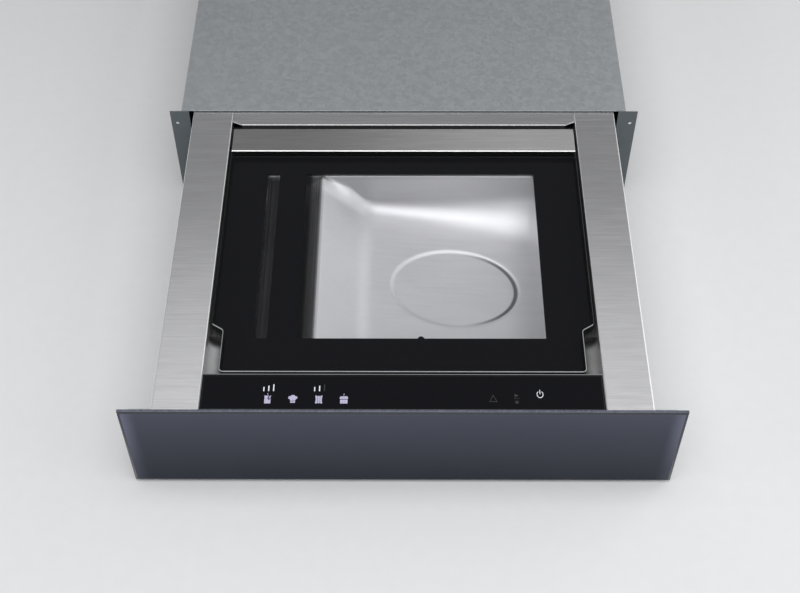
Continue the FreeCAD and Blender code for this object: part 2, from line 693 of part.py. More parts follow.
def make_lid():
    """Glass lid with finger notches, its hinge bar and arms, gasket and counter strip."""
    body = new_body("lid_pane")
    step = lid_half - d.notch_width
    back_of_notch = lid_front + d.notch_length
    corners = [
        (-step, lid_front), (step, lid_front), (step, back_of_notch), (lid_half, back_of_notch),
        (lid_half, lid_back), (-lid_half, lid_back), (-lid_half, back_of_notch), (-step, back_of_notch),
    ]
    plate = pad(body, outline(body, "lid_outline", "XY_Plane", corners), d.lid_glass_thk)
    up = Vector(0, 0, 1)
    limit = back_of_notch.number + 1
    rounds = edges_where(plate.Shape, lambda edge: is_along(edge, up) and edge.CenterOfMass.y < limit)
    smooth = dress(body, "Fillet", plate, rounds, Radius=d.notch_radius)
    top = d.lid_glass_thk.number
    rim = edges_where(smooth.Shape, lambda edge: abs(edge.BoundBox.ZMin - top) < 1e-4)
    dress(body, "Chamfer", smooth, rim, Size=d.lid_chamfer)
    place(body, z=lid_under)
    # The pane is held as two abutting solids, parted just ahead of the notches' round corners.
    parting = back_of_notch - d.notch_radius - 0.2
    halves = []
    for tag, ys in (("front", (lid_front - 1, parting)), ("rear", (parting, lid_back + 1))):
        reach = box(f"pane_reach_{tag}", (-lid_half - 1, lid_half + 1), ys, (lid_under - 1, deck_top + 1))
        half = DOC.addObject("Part::Common", f"pane_{tag}")
        half.Base = body
        half.Tool = reach
        halves.append(half)
    keep("lid_glass", group("lid_glass", halves), 1)

    skin = d.stout_steel
    roof = deck_top - skin
    section = [
        (lid_back - d.bar_flange, lid_under - skin), (lid_back + skin, lid_under - skin),
        (lid_back + skin, roof),
        (bar_back - skin, roof), (bar_back - skin, deck_top - d.bar_rear_wall),
        (bar_back, deck_top - d.bar_rear_wall), (bar_back, deck_top), (lid_back, deck_top),
        (lid_back, lid_under), (lid_back - d.bar_flange, lid_under),
    ]
    bar = new_body("lid_hinge_bar")
    pad(bar, outline(bar, "bar_section", "YZ_Plane", section), 2 * lid_half, midplane=True)
    keep("lid_hinge_bar", bar, 1)

    hole = d.pin_radius + d.running_fit
    for name, side in (("left", -1), ("right", 1)):
        thick = span(side, hinge_side - d.hinge_arm_thk / 2, hinge_side + d.hinge_arm_thk / 2)
        slab = box(f"arm_slab_{name}", thick, (lid_back + 2 * skin, hinge_y), (hinge_z - 2, roof))
        neck = box(f"arm_neck_{name}", thick, (hinge_y - 1, hinge_y + 4), (hinge_z, roof))
        eye = rod(f"arm_eye_{name}", "x", (thick[0], hinge_y, hinge_z), d.hinge_radius, d.hinge_arm_thk)
        bore = rod(f"arm_bore_{name}", "x", (thick[0] - 1, hinge_y, hinge_z), hole, d.hinge_arm_thk + 2)
        arm = cut(f"lid_hinge_arm_{name}", join(f"arm_solid_{name}", [slab, neck, eye]), [bore])
        keep(f"lid_hinge_arm_{name}", arm, 1)

    edge = 2
    outer = ((-chamber_left - d.rim_side + edge, chamber_right + d.rim_side - edge),
             (chamber_front - d.rim_side + edge, chamber_back + d.rim_side - edge))
    band = d.gasket_width
    whole = box("gasket_outer", outer[0], outer[1], (rim_top, lid_under))
    middle = box("gasket_inner", (outer[0][0] + band, outer[0][1] - band),
                 (outer[1][0] + band, outer[1][1] - band), (rim_top - 1, lid_under + 1))
    keep("lid_gasket", cut("lid_gasket", whole, [middle]), 1)

    middle_y = chamber_front + chamber_length / 2
    strip = box("counter_strip", (-seal_x - d.counter_width / 2, -seal_x + d.counter_width / 2),
                (middle_y - counter_length / 2, middle_y + counter_length / 2),
                (lid_under - d.counter_height, lid_under))
    keep("counter_strip", strip, 1)


def make_hinges():
    """Brackets on the deck pan, pins through them and friction washers."""
    bore = d.pin_radius + d.running_fit
    near = d.hinge_arm_thk / 2 + d.hinge_ear_gap
    far = near + d.hinge_ear_thk
    foot_thk = 2
    pins, washers = [], []
    for name, side in (("left", -1), ("right", 1)):
        foot = box(f"bracket_foot_{name}", span(side, hinge_side - far - 2, hinge_side + far + 2),
                   (hinge_y - 26, hinge_y - 4), (pan_top, pan_top + foot_thk))
        parts = [foot]
        for tag, low in (("in", hinge_side - far), ("out", hinge_side + near)):
            thick = span(side, low, low + d.hinge_ear_thk)
            parts.append(box(f"ear_{tag}_{name}", thick, (hinge_y - 18, hinge_y - 4),
                             (pan_top + foot_thk, hinge_z + 2)))
            parts.append(box(f"ear_neck_{tag}_{name}", thick, (hinge_y - 5, hinge_y),
                             (pan_top + 2 * foot_thk, hinge_z + 2)))
            parts.append(rod(f"ear_eye_{tag}_{name}", "x", (thick[0], hinge_y, hinge_z), d.hinge_radius,
                             d.hinge_ear_thk))
        reach = span(side, hinge_side - far - 1, hinge_side + far + 1)
        drill = rod(f"bracket_bore_{name}", "x", (reach[0], hinge_y, hinge_z), bore, 2 * far + 2)
        bracket = cut(f"hinge_bracket_{name}", join(f"bracket_solid_{name}", parts), [drill])
        keep(f"hinge_bracket_{name}", bracket, 1)
        pins.append(rod(f"pin_{name}", "x", (reach[0], hinge_y, hinge_z), d.pin_radius, 2 * far + 2))
        for tag, low in (("in", -near + d.washer_play), ("out", d.hinge_arm_thk / 2 + d.washer_play)):
            thick = d.hinge_ear_gap - 2 * d.washer_play
            start = span(side, hinge_side + low, hinge_side + low + thick)[0]
            disc = rod(f"washer_disc_{tag}_{name}", "x", (start, hinge_y, hinge_z),
                       d.hinge_radius - 0.5, thick)
            eye = rod(f"washer_eye_{tag}_{name}", "x", (start - 1, hinge_y, hinge_z), bore, thick + 2)
            washers.append(cut(f"washer_{tag}_{name}", disc, [eye]))
    keep("hinge_pins", group("hinge_pins", pins), 1)
    keep("hinge_washers", group("hinge_washers", washers), 1)


def make_seal_bar():
    """Heated bar on two lifting rods, with its cylinders under the trough."""
    xs = (-seal_x - d.seal_width / 2, -seal_x + d.seal_width / 2)
    middle = chamber_front + chamber_length / 2
    ys = (middle - seal_length / 2, middle + seal_length / 2)
    top = deck_top - d.seal_top_drop
    low = top - d.seal_height
    keep("seal_bar", box("seal_bar", xs, ys, (low, top)), 1)
    band = box("heating_band", (-seal_x - d.band_width / 2, -seal_x + d.band_width / 2), ys,
               (top, top + d.band_thk))
    keep("heating_band", band, 1)
    cover = box("seal_cover", xs, ys, (top + d.band_thk, top + d.band_thk + d.cover_thk))
    keep("seal_cover", cover, 1)

    trough_under = deck_top - d.trough_drop - d.stout_steel
    cylinder_low = trough_under - d.cylinder_height
    rods, cylinders = [], []
    for index, y in enumerate(rod_places()):
        foot = cylinder_low + 5
        rods.append(rod(f"lift_rod_{index}", "z", (-seal_x, y, foot), d.rod_radius, low - foot))
        barrel = rod(f"barrel_{index}", "z", (-seal_x, y, cylinder_low), d.cylinder_radius,
                     d.cylinder_height)
        bore = rod(f"barrel_bore_{index}", "z", (-seal_x, y, cylinder_low + 3),
                   d.rod_radius + d.running_fit, d.cylinder_height)
        cylinders.append(cut(f"lift_cylinder_{index}", barrel, [bore]))
    keep("lift_rods", group("lift_rods", rods), 1)
    keep("lift_cylinders", group("lift_cylinders", cylinders), 1)


def channel(web_x, web_thk, lip_x, half_height, thk):
    """C-shaped runner section: web at web_x, lips that reach to lip_x."""
    toward = 1 if web_x.number > lip_x.number else -1
    inner = web_x - toward * web_thk
    return [
        (web_x, -half_height), (web_x, half_height), (lip_x, half_height), (lip_x, half_height - thk),
        (inner, half_height - thk), (inner, -half_height + thk), (lip_x, -half_height + thk),
        (lip_x, -half_height),
    ]


def ball_cage(node, side, web, lip, ball_z, radius, start, share):
    """Bent strip with rows of balls above and below the runner's axis."""
    reach = (start, start + d.cage_length)
    strip = d.cage_strip
    low = d.runner_axis - ball_z
    high = d.runner_axis + ball_z
    pieces = [box(f"{node}_web", span(side, web, web + strip), reach, (low - strip / 2, high + strip / 2))]
    for tag, z in (("low", low), ("high", high)):
        pieces.append(box(f"{node}_lip_{tag}", span(side, lip, web + strip), reach,
                          (z - strip / 2, z + strip / 2)))
        for index in range(6):
            y = start + d.cage_length * (index + 0.5) / 6
            pieces.append(ball(f"{node}_ball_{tag}_{index}", (side * (lip + 2.6), y, z), radius))
    keep(node, join(node, pieces), share)


def make_runners():
    """Full-extension ball runners: outer, middle and inner members with ball cages."""
    thin = 0.8 * d.runner_sheet
    outer_half = d.runner_height / 2
    middle_half = outer_half - d.runner_sheet - 2 * (d.outer_ball + d.ball_play)
    inner_half = middle_half - thin - 2 * (d.inner_ball + d.ball_play)
    outer_lip = tray_half + 3.5
    middle_web = house_inner - d.runner_sheet - 2.1
    inner_lip = tray_half + 7
    start, length = d.runner_front, runner_length
    rivets = []
    for name, side in (("left", -1), ("right", 1)):
        members = (
            ("outer", channel(house_inner, d.runner_sheet, outer_lip, outer_half, d.runner_sheet), 0),
            ("middle", channel(middle_web, thin, tray_half + 3, middle_half, thin), 0.5),
            ("inner", channel(tray_half, thin, inner_lip, inner_half, thin), 1),
        )
        for member, profile, share in members:
            node = f"runner_{member}_{name}"
            if member == "outer":
                make_outer_runner(node, profile, side)
                continue
            corners = [(side * u, v + d.runner_axis) for u, v in profile]
            section_along_y(node, corners, start, length, share)
        cage_start = start + length / 2 - d.cage_length / 2 - 35
        ball_cage(f"ball_cage_outer_{name}", side, middle_web + 0.5, outer_lip + 1.5,
                  middle_half + d.outer_ball + d.ball_play, d.outer_ball, cage_start, 0.25)
        ball_cage(f"ball_cage_inner_{name}", side, inner_lip + 1.1, tray_half + 3.2,
                  inner_half + d.inner_ball + d.ball_play, d.inner_ball, cage_start, 0.75)
        for index, y in enumerate(rivet_places()):
            shank_start = span(side, house_inner - d.runner_sheet, house_half)[0]
            shank = rod(f"rivet_shank_{name}_{index}", "x", (shank_start, y, d.runner_axis),
                        d.rivet_radius, d.runner_sheet + d.sheet_steel)
            head_start = span(side, house_half, house_half + 1)[0]
            head = rod(f"rivet_head_{name}_{index}", "x", (head_start, y, d.runner_axis),
                       2 * d.rivet_radius, 1)
            rivets.append(join(f"rivet_{name}_{index}", [shank, head]))
    keep("runner_rivets", group("runner_rivets", rivets))


def rivet_places():
    """Rivets along each outer runner member."""
    return (d.runner_front + 30, d.runner_front + runner_length / 2, d.runner_front + runner_length - 30)


def rivet_drills(tag, side):
    """Holes through housing side and runner web for the rivets."""
    inner = span(side, house_inner - 2 * d.runner_sheet, house_half + 1)
    return [rod(f"{tag}_drill_{index}", "x", (inner[0], y, d.runner_axis), d.rivet_radius + d.running_fit,
                inner[1] - inner[0])
            for index, y in enumerate(rivet_places())]


def make_outer_runner(node, profile, side):
    """Outer member, drilled for its rivets."""
    body = new_body(f"{node}_channel")
    corners = [(side * u, v + d.runner_axis) for u, v in profile]
    pad(body, outline(body, f"{node}_section", "XZ_Plane", corners), runner_length, reverse=True)
    place(body, y=d.runner_front)
    keep(node, cut(node, body, rivet_drills(node, side)))


def make_housing():
    """Sheet-steel housing with fixing flanges, rear vents, gland and push latch."""
    skin = d.sheet_steel
    full = (-house_half, house_half)
    depth = (house_front, d.housing_depth)
    ahead = (-skin, house_front)
    keep("housing_base", box("housing_base", full, depth, (niche_floor, skin)))
    keep("housing_top", box("housing_top", full, depth, (housing_roof, d.housing_height)))
    for name, side in (("left", -1), ("right", 1)):
        wall = box(f"side_wall_{name}", span(side, house_inner, house_half), depth, (skin, housing_roof))
        edges = (house_half - d.flange_inset, house_half + d.flange_reach)
        flange = box(f"side_flange_{name}", span(side, *edges), ahead, (2 * skin, housing_roof))
        notch_half = d.runner_height / 2 + 4.5
        notch_wide = span(side, edges[0] - 1, house_inner - 0.8)
        notch = box(f"flange_notch_{name}", notch_wide, (-2 * skin, house_front),
                    (d.runner_axis - notch_half, d.runner_axis + notch_half))
        hole_x = side * (house_half + d.fixing_reach)
        holes = [rod(f"fixing_hole_{name}_{index}", "y", (hole_x, -2 * skin, z), d.fixing_radius, 3 * skin)
                 for index, z in enumerate((d.fixing_low, d.fixing_low + d.fixing_rise))]
        tools = [notch] + holes + rivet_drills(f"side_{name}", side)
        keep(f"housing_side_{name}",
             cut(f"housing_side_{name}", join(f"side_{name}", [wall, flange]), tools))

    gland_x, gland_z = -house_half + 60, d.motor_axis - 20
    wall = box("rear_wall", (-house_inner, house_inner), (d.housing_depth - skin, d.housing_depth),
               (skin, housing_roof))
    tools = [rod("gland_hole", "y", (gland_x, d.housing_depth - 2 * skin, gland_z),
                 d.gland_radius + d.running_fit, 3 * skin)]
    pitch, width = 24, 12
    for index in range(12):
        left = as_size(pitch * (index - 5))
        tools.append(box(f"rear_vent_{index}", (left, left + width),
                         (d.housing_depth - 2 * skin, d.housing_depth + skin),
                         (d.motor_axis + 34, d.motor_axis + 62)))
    keep("housing_rear", cut("housing_rear", wall, tools))

    inside, nut_radius = 12, 1.4 * d.gland_radius
    shank = rod("gland_shank", "y", (gland_x, d.housing_depth - inside, gland_z), d.gland_radius,
                inside + 1)
    nut = rod("gland_nut", "y", (gland_x, d.housing_depth, gland_z), nut_radius, 5)
    lock = rod("gland_lock", "y", (gland_x, d.housing_depth - skin - 3, gland_z), nut_radius, 3)
    bore = rod("gland_drill", "y", (gland_x, d.housing_depth - inside - 1, gland_z), d.gland_bore, 20)
    keep("cable_gland", cut("cable_gland", join("gland_solid", [shank, nut, lock]), [bore]))

    block = box("latch_block", (-3 * d.plunger_radius, 3 * d.plunger_radius),
                (d.housing_depth - skin - 18, d.housing_depth - skin),
                (d.motor_axis - 12, d.motor_axis + 12))
    drill = rod("latch_drill", "y", (middle_plane, d.housing_depth - skin - 19, d.motor_axis),
                d.plunger_radius + d.running_fit, 20)
    keep("push_latch", cut("push_latch", block, [drill]))
    tip = drawer_back + d.plunger_gap
    pin = rod("plunger_pin", "y", (middle_plane, tip, d.motor_axis), d.plunger_radius, 20)
    head = rod("plunger_head", "y", (middle_plane, tip, d.motor_axis), 1.6 * d.plunger_radius, 2.5)
    keep("latch_plunger", join("latch_plunger", [pin, head]))


def make_pump():
    """Vacuum pump with its motor, fan wheel and rubber feet."""
    axis_y = strip_front + 23
    axis_z = d.motor_axis
    plate_top = axis_z - d.motor_radius
    right = as_size(10)
    left = right - d.motor_length
    bore = d.pin_radius + 2 + d.running_fit
    motor = new_body("motor_shell")
    half = d.motor_radius
    flat = half - 3
    corners = [
        (left, as_size(0)), (right, as_size(0)), (right, half), (right - 6, half), (right - 6, flat),
        (left + 8, flat), (left + 8, half), (left, half),
    ]
    sketch = outline(motor, "motor_section", "XZ_Plane", corners)
    turned = motor.newObject("PartDesign::Revolution", "motor_turned")
    turned.Profile = sketch
    turned.ReferenceAxis = (sketch, ["H_Axis"])
    turned.Angle = 360
    place(motor, y=axis_y, z=axis_z)
    drill = rod("motor_bore", "x", (left - 1, axis_y, axis_z), bore, 42)
    keep("pump_motor", cut("pump_motor", motor, [drill]), 1)

    case = box("pump_case", (right, right + 50), (axis_y - 30, axis_y + 30), (plate_top, axis_z + 35))
    plate = box("pump_plate", (left + 10, right + 50), (axis_y - 35, axis_y + 35),
                (plate_top - 2, plate_top))
    heads = [box(f"pump_head_{tag}", (right + 5, right + 45), ys, (axis_z - 24, axis_z + 26))
             for tag, ys in (("front", (axis_y - 56, axis_y - 30)), ("back", (axis_y + 30, axis_y + 52)))]
    fins = []
    for index in range(5):
        z = axis_z - 20 + 9 * index
        fins.append(box(f"head_fin_{index}", (right + 2, right + 48), (axis_y - 58, axis_y - 32),
                        (z, z + 2.5)))
    keep("vacuum_pump", join("vacuum_pump", [case, plate] + heads + fins), 1)

    places = [(x, side) for x in (left + 22, right + 38) for side in (-1, 1)]
    feet = [rod(f"pump_foot_{index}", "z", (x, axis_y + 26 * side, tray_floor), as_size(8),
                plate_top - 2 - tray_floor)
            for index, (x, side) in enumerate(places)]
    keep("pump_feet", group("pump_feet", feet), 1)

    shaft = rod("rotor_shaft", "x", (left - 24, axis_y, axis_z), d.pin_radius + 2, 60)
    hub = rod("fan_hub", "x", (left - 22, axis_y, axis_z), as_size(12), 16)
    blades, blade_count = [], 7
    for index in range(blade_count):
        blade = DOC.addObject("Part::Box", f"fan_blade_{index}")
        blade.Length = 14
        blade.Width = 2.5
        bind(blade, "Height", d.fan_radius)
        blade.Placement = Placement(Vector(), Rotation(Vector(1, 0, 0), 360 * index / blade_count))
        blades.append(place(blade, left - 21, axis_y, axis_z))
    keep("pump_rotor", join("pump_rotor", [shaft, hub] + blades), 1)


def make_valves():
    """Valve block, solenoid with its plunger, and the hose from the chamber."""
    low_x, front = as_size(92), strip_front - 7
    block_top = tray_floor + 44
    block = box("valve_block", (low_x, low_x + 40), (front, front + 40), (tray_floor, block_top))
    keep("valve_block", block, 1)
    centre = (low_x + 20, front + 20)
    coil = rod("solenoid_coil", "z", (centre[0], centre[1], block_top), as_size(14), 42)
    bore = rod("solenoid_bore", "z", (centre[0], centre[1], block_top + 5), 4 + d.running_fit, 50)
    keep("valve_solenoid", cut("valve_solenoid", coil, [bore]), 1)
    plunger = rod("valve_plunger", "z", (centre[0], centre[1], block_top + 6), as_size(4), 33)
    keep("valve_plunger", plunger, 1)

    start = Vector(suction_x().number, chamber_back.number + d.stout_steel.number + 12, suction_z().number)
    high = Vector(start.x, start.y + 27, start.z)
    turn = Vector(low_x.number + 20, high.y, start.z)
    down = Vector(turn.x, turn.y, tray_floor.number + 24)
    end = Vector(down.x, front.number, down.z)
    hose = DOC.addObject("Part::Feature", "vacuum_hose")
    hose.Shape = tube([start, high, turn, down, end], d.hose_radius.number)
    keep("vacuum_hose", hose, 1)


def tube(points, radius):
    """Round tube along straight runs that are joined by tangent arcs."""
    edges, last = [], points[0]
    for before, corner, after in zip(points, points[1:], points[2:]):
        incoming = (corner - before).normalize()
        outgoing = (after - corner).normalize()
        turn = incoming.getAngle(outgoing)
        trim = 0.45 * min((corner - before).Length, (after - corner).Length)
        bend = trim / math.tan(turn / 2)
        entry = corner - incoming * trim
        leave = corner + outgoing * trim
        inward = (outgoing - incoming).normalize()
        middle = corner + inward * (bend / math.cos(turn / 2) - bend)
        edges.append(Part.LineSegment(last, entry).toShape())
        edges.append(Part.Arc(entry, middle, leave).toShape())
        last = leave
    edges.append(Part.LineSegment(last, points[-1]).toShape())
    path = Part.Wire(edges)
    ring = Part.Wire([Part.Circle(points[0], points[1] - points[0], radius).toShape()])
    solid = path.makePipeShell([ring], True, False)
    return solid


def make_power():
    """Power board on posts, with the transformer that feeds the heating band."""
    left, front = as_size(156), strip_front - 47
    board_low = tray_floor + 6
    board_top = board_low + d.board_thk
    plate = box("power_plate", (left, left + 96), (front, front + 120), (board_low, board_top))
    posts = [rod(f"power_post_{index}", "z", (left + dx, front + dy, tray_floor), as_size(3), as_size(6))
             for index, (dx, dy) in enumerate(((6, 6), (90, 6), (6, 114), (90, 114)))]
    # Relay, capacitor and terminal block: corner on the board, width, depth and height.
    blocks = ((8, 84, 24, 20, 22), (40, 86, 16, 16, 30), (64, 86, 22, 18, 12))
    parts = [box(f"power_block_{index}", (left + x, left + x + width), (front + y, front + y + depth),
                 (board_top, board_top + height))
             for index, (x, y, width, depth, height) in enumerate(blocks)]
    keep("power_board", join("power_board", [plate] + posts + parts), 1)
    core = box("core", (left + 16, left + 80), (front + 14, front + 70), (board_top, board_top + 42))
    coil = box("coil", (left + 26, left + 70), (front + 8, front + 76), (board_top + 8, board_top + 34))
    keep("transformer", join("transformer", [core, coil]), 1)


def check_and_write():
    """Recomputes, tests every object and writes one file per node."""
    DOC.recompute()
    for obj in DOC.Objects:
        if "Invalid" in obj.State or "Error" in obj.State:
            raise RuntimeError(f"{obj.Name} failed: {obj.State}")
    os.makedirs("parts", exist_ok=True)
    for node, obj in NODES.items():
        shape = obj.Shape
        if shape.isNull() or not shape.isValid() or not shape.Solids:
            raise RuntimeError(f"{node} has no valid solid")
        shape.exportStep(os.path.join("parts", f"{node}.step"))
        print(f"{node}: {len(shape.Solids)} solid(s), {shape.Volume:.0f} mm3")
    print(f"{len(NODES)} nodes")


make_front()
make_tray()
make_rails()
make_deck()
make_controls()
make_chamber()
make_lid()
make_hinges()
make_seal_bar()
make_runners()
make_housing()
make_pump()
make_valves()
make_power()
check_and_write()
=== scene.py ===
"""Vacuum sealing drawer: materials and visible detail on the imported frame."""

import json
import math

import bmesh
import bpy
from mathutils import Matrix, Vector
from mathutils.geometry import tessellate_polygon


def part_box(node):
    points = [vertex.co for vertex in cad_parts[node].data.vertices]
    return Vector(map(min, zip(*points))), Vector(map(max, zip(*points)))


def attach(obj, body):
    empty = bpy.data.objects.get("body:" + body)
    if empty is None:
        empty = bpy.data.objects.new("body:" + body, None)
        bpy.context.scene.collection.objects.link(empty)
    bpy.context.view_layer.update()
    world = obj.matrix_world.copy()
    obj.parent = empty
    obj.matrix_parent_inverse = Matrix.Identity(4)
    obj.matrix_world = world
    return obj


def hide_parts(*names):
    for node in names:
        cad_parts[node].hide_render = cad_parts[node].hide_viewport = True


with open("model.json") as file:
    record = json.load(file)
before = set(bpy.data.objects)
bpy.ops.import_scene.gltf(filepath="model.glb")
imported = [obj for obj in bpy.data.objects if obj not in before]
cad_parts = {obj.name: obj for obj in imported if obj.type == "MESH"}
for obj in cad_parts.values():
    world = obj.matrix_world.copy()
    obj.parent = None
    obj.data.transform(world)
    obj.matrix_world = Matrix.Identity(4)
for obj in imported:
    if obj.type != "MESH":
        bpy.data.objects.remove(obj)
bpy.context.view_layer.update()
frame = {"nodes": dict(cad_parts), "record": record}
NODES = frame["nodes"]
MM = 0.001
TOP = 138.0            # deck plane
GLASS_UNDER = 128.0    # underside of the lid glass
DECK_FRONT = -450.0    # front edge of the deck
EYE = Vector((4.4, -1234.2, 1292.5))    # the photograph's camera
OVAL_CENTRE = (62.0, -225.0)            # stamped oval in the chamber floor
OVAL_HALF = (75.5, 57.5)


def link(obj):
    bpy.context.scene.collection.objects.link(obj)


def node_box(node):
    """Lowest and highest corner of a node in millimetres."""
    low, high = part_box(node)
    return [value / MM for value in low], [value / MM for value in high]


# ---- camera

def add_camera():
    """Camera fitted to the photograph."""
    pitch, yaw, roll = (math.radians(a) for a in (50.94, -0.463, -0.284))
    ahead = Vector((math.sin(yaw) * math.cos(pitch), math.cos(yaw) * math.cos(pitch), -math.sin(pitch)))
    right = Vector((math.cos(yaw), -math.sin(yaw), 0))
    up = right.cross(ahead)
    side = right * math.cos(roll) + up * math.sin(roll)
    rise = up * math.cos(roll) - right * math.sin(roll)
    turn = Matrix((side, rise, -ahead)).transposed()
    data = bpy.data.cameras.new("camera")
    data.sensor_width = 36
    data.lens = 60.13
    data.clip_end = 50
    camera = bpy.data.objects.new("camera", data)
    camera.matrix_world = Matrix.Translation(EYE * MM) @ turn.to_4x4()
    link(camera)
    bpy.context.scene.camera = camera


# ---- materials

class Shader:
    """Builds one node material in object coordinates."""

    def __init__(self, name="material"):
        self.mat = bpy.data.materials.new(name)
        self.mat.use_nodes = True
        self.tree = self.mat.node_tree
        self.tree.nodes.clear()
        self.out = self.node("OutputMaterial")
        self.place = self.node("TexCoord").outputs["Object"]

    def node(self, kind, props=None, **sockets):
        made = self.tree.nodes.new("ShaderNode" + kind)
        for key, value in (props or {}).items():
            setattr(made, key, value)
        for key, value in sockets.items():
            self.feed(made.inputs[key.replace("_", " ")], value)
        return made

    def feed(self, socket, value):
        if isinstance(value, bpy.types.NodeSocket):
            self.tree.links.new(value, socket)
        else:
            socket.default_value = value

    def moved(self, scale, shift):
        """Object coordinates, scaled by one number or by three."""
        scales = (scale,) * 3 if isinstance(scale, float) else scale
        return self.node("Mapping", Vector=self.place, Location=(shift,) * 3, Scale=scales).outputs[0]

    def noise(self, scale, detail=3.0, rough=0.55, shift=0.0):
        return self.node("TexNoise", Vector=self.moved(scale, shift), Scale=1.0, Detail=detail,
                         Roughness=rough).outputs[0]

    def cells(self, scale, shift=0.0):
        return self.node("TexVoronoi", Vector=self.moved(scale, shift), Scale=1.0)

    def axis(self, index):
        return self.node("SeparateXYZ", Vector=self.place).outputs[index]

    def span(self, value, low, high, start, stop, smooth=False, clamp=True):
        kind = {"interpolation_type": "SMOOTHSTEP"} if smooth else {"clamp": clamp}
        made = self.node("MapRange", kind)
        for socket, item in zip(made.inputs, (value, low, high, start, stop)):
            self.feed(socket, item)
        return made.outputs[0]

    def along(self, index, start, stop, low, high):
        """Smooth change from low to high between two places along one axis."""
        return self.span(self.axis(index), start, stop, low, high, True)

    def math(self, operation, first, second=0.0):
        made = self.node("Math", {"operation": operation})
        self.feed(made.inputs[0], first)
        self.feed(made.inputs[1], second)
        return made.outputs[0]

    def times(self, first, second):
        return self.math("MULTIPLY", first, second)

    def blend(self, factor, first, second):
        made = self.node("Mix", {"data_type": "RGBA"})
        self.feed(made.inputs[0], factor)
        self.feed(made.inputs[6], first if not isinstance(first, tuple) else (*first, 1.0))
        self.feed(made.inputs[7], second if not isinstance(second, tuple) else (*second, 1.0))
        return made.outputs[2]

    def mottle(self, pattern, low, high):
        """Two colours blended over the middle range of a pattern."""
        return self.blend(self.span(pattern, 0.3, 0.7, 0.0, 1.0), low, high)

    def shade(self, colour, factor):
        return self.node("VectorMath", {"operation": "SCALE"}, Vector=colour, Scale=factor).outputs[0]

    def bump(self, height, distance):
        return self.node("Bump", Height=height, Distance=distance, Strength=1.0).outputs[0]

    def finish(self, colour, rough, normal=None, tangent=None, **constants):
        """Principled surface with the given inputs; the rest are constants on its own sockets."""
        shader = self.node("BsdfPrincipled")
        self.feed(shader.inputs["Base Color"], colour)
        self.feed(shader.inputs["Roughness"], rough)
        if normal is not None:
            self.feed(shader.inputs["Normal"], normal)
        if tangent is not None:
            flow = self.node("CombineXYZ", X=tangent[0], Y=tangent[1], Z=tangent[2])
            self.feed(shader.inputs["Tangent"], flow.outputs[0])
        for key, value in constants.items():
            shader.inputs[key.replace("_", " ")].default_value = value
        self.feed(self.out.inputs["Surface"], shader.outputs[0])
        return self.mat


def scaled(colour, factor):
    return tuple(min(1.0, channel * factor) for channel in colour)


def brushed(colour, lines, metallic=0.8, rough=0.34, aniso=0.6, contrast=0.11, painted_light=None):
    """Brushed metal: fine streaks along x or y, with broader bands over them.

    The last argument paints light and shade into the colour, darker or lighter along one axis: (axis, (place,
    factor), (place, factor)).
    """
    sh = Shader()
    fine, band, flow = [1300.0] * 3, [620.0] * 3, "xy".index(lines)
    fine[flow], band[flow] = 26.0, 14.0
    hair = sh.noise(fine, detail=2.0, rough=0.7)
    wide = sh.noise(band, detail=3.0, rough=0.6, shift=3.1)
    cloud = sh.noise(9.0, detail=2.0, shift=7.7)
    mix = sh.math("ADD", sh.times(hair, 0.6), sh.times(wide, 0.4))
    tone = sh.mottle(mix, scaled(colour, 1 - contrast), scaled(colour, 1 + contrast))
    tone = sh.blend(sh.span(cloud, 0.3, 0.7, 0.0, 0.35), tone, scaled(colour, 0.95))
    # painted light and shade along one axis
    if painted_light:
        axis, (start, low), (stop, high) = painted_light
        share = sh.along(axis, start, stop, 0.0, 1.0)
        tone = sh.blend(share, sh.shade(tone, low), sh.shade(tone, high))
    gloss = sh.span(mix, 0.25, 0.75, rough - 0.05, rough + 0.05)
    across = (0.0, 1.0, 0.0) if lines == "x" else (1.0, 0.0, 0.0)
    return sh.finish(tone, gloss, sh.bump(mix, 0.000015), across, Metallic=metallic, Anisotropic=aniso)


def galvanised(colour):
    """Zinc-coated sheet with spangle and light bloom."""
    sh = Shader()
    grain = sh.cells(170.0)
    small = sh.cells(520.0, 2.3)
    spangle = sh.node("SeparateXYZ", Vector=grain.outputs["Color"]).outputs[0]
    second = sh.node("SeparateXYZ", Vector=small.outputs["Color"]).outputs[1]
    cloud = sh.noise(5.0, detail=5.0, rough=0.6, shift=1.7)
    both = sh.math("ADD", sh.times(spangle, 0.6), sh.times(second, 0.4))
    tone = sh.blend(both, scaled(colour, 0.94), scaled(colour, 1.06))
    tone = sh.blend(sh.span(cloud, 0.4, 0.75, 0.0, 0.4), tone, scaled(colour, 1.10))
    gloss = sh.span(both, 0.0, 1.0, 0.37, 0.48)
    return sh.finish(tone, gloss, sh.bump(both, 0.00001), Metallic=0.7)


def painted(colour, rough=0.45, grain=900.0, metallic=0.0, depth=0.00004):
    """Powder coat or moulded plastic with an eroded grain."""
    sh = Shader()
    peel = sh.noise(grain, detail=3.0, rough=0.6)
    cloud = sh.noise(14.0, detail=4.0, shift=4.2)
    tone = sh.mottle(cloud, scaled(colour, 0.88), scaled(colour, 1.12))
    tone = sh.blend(sh.span(peel, 0.35, 0.65, 0.0, 0.5), tone, scaled(colour, 1.08))
    gloss = sh.span(cloud, 0.3, 0.7, rough - 0.05, rough + 0.07)
    return sh.finish(tone, gloss, sh.bump(peel, depth), Metallic=metallic)


def cast(colour):
    """Die-cast metal with a sandy skin."""
    sh = Shader()
    sand = sh.noise(420.0, detail=5.0, rough=0.7)
    cloud = sh.noise(22.0, detail=3.0, shift=2.0)
    tone = sh.mottle(sand, scaled(colour, 0.82), scaled(colour, 1.12))
    tone = sh.blend(sh.span(cloud, 0.4, 0.7, 0.0, 0.4), tone, scaled(colour, 0.8))
    return sh.finish(tone, sh.span(sand, 0.3, 0.7, 0.38, 0.58), sh.bump(sand, 0.00012), Metallic=0.85)


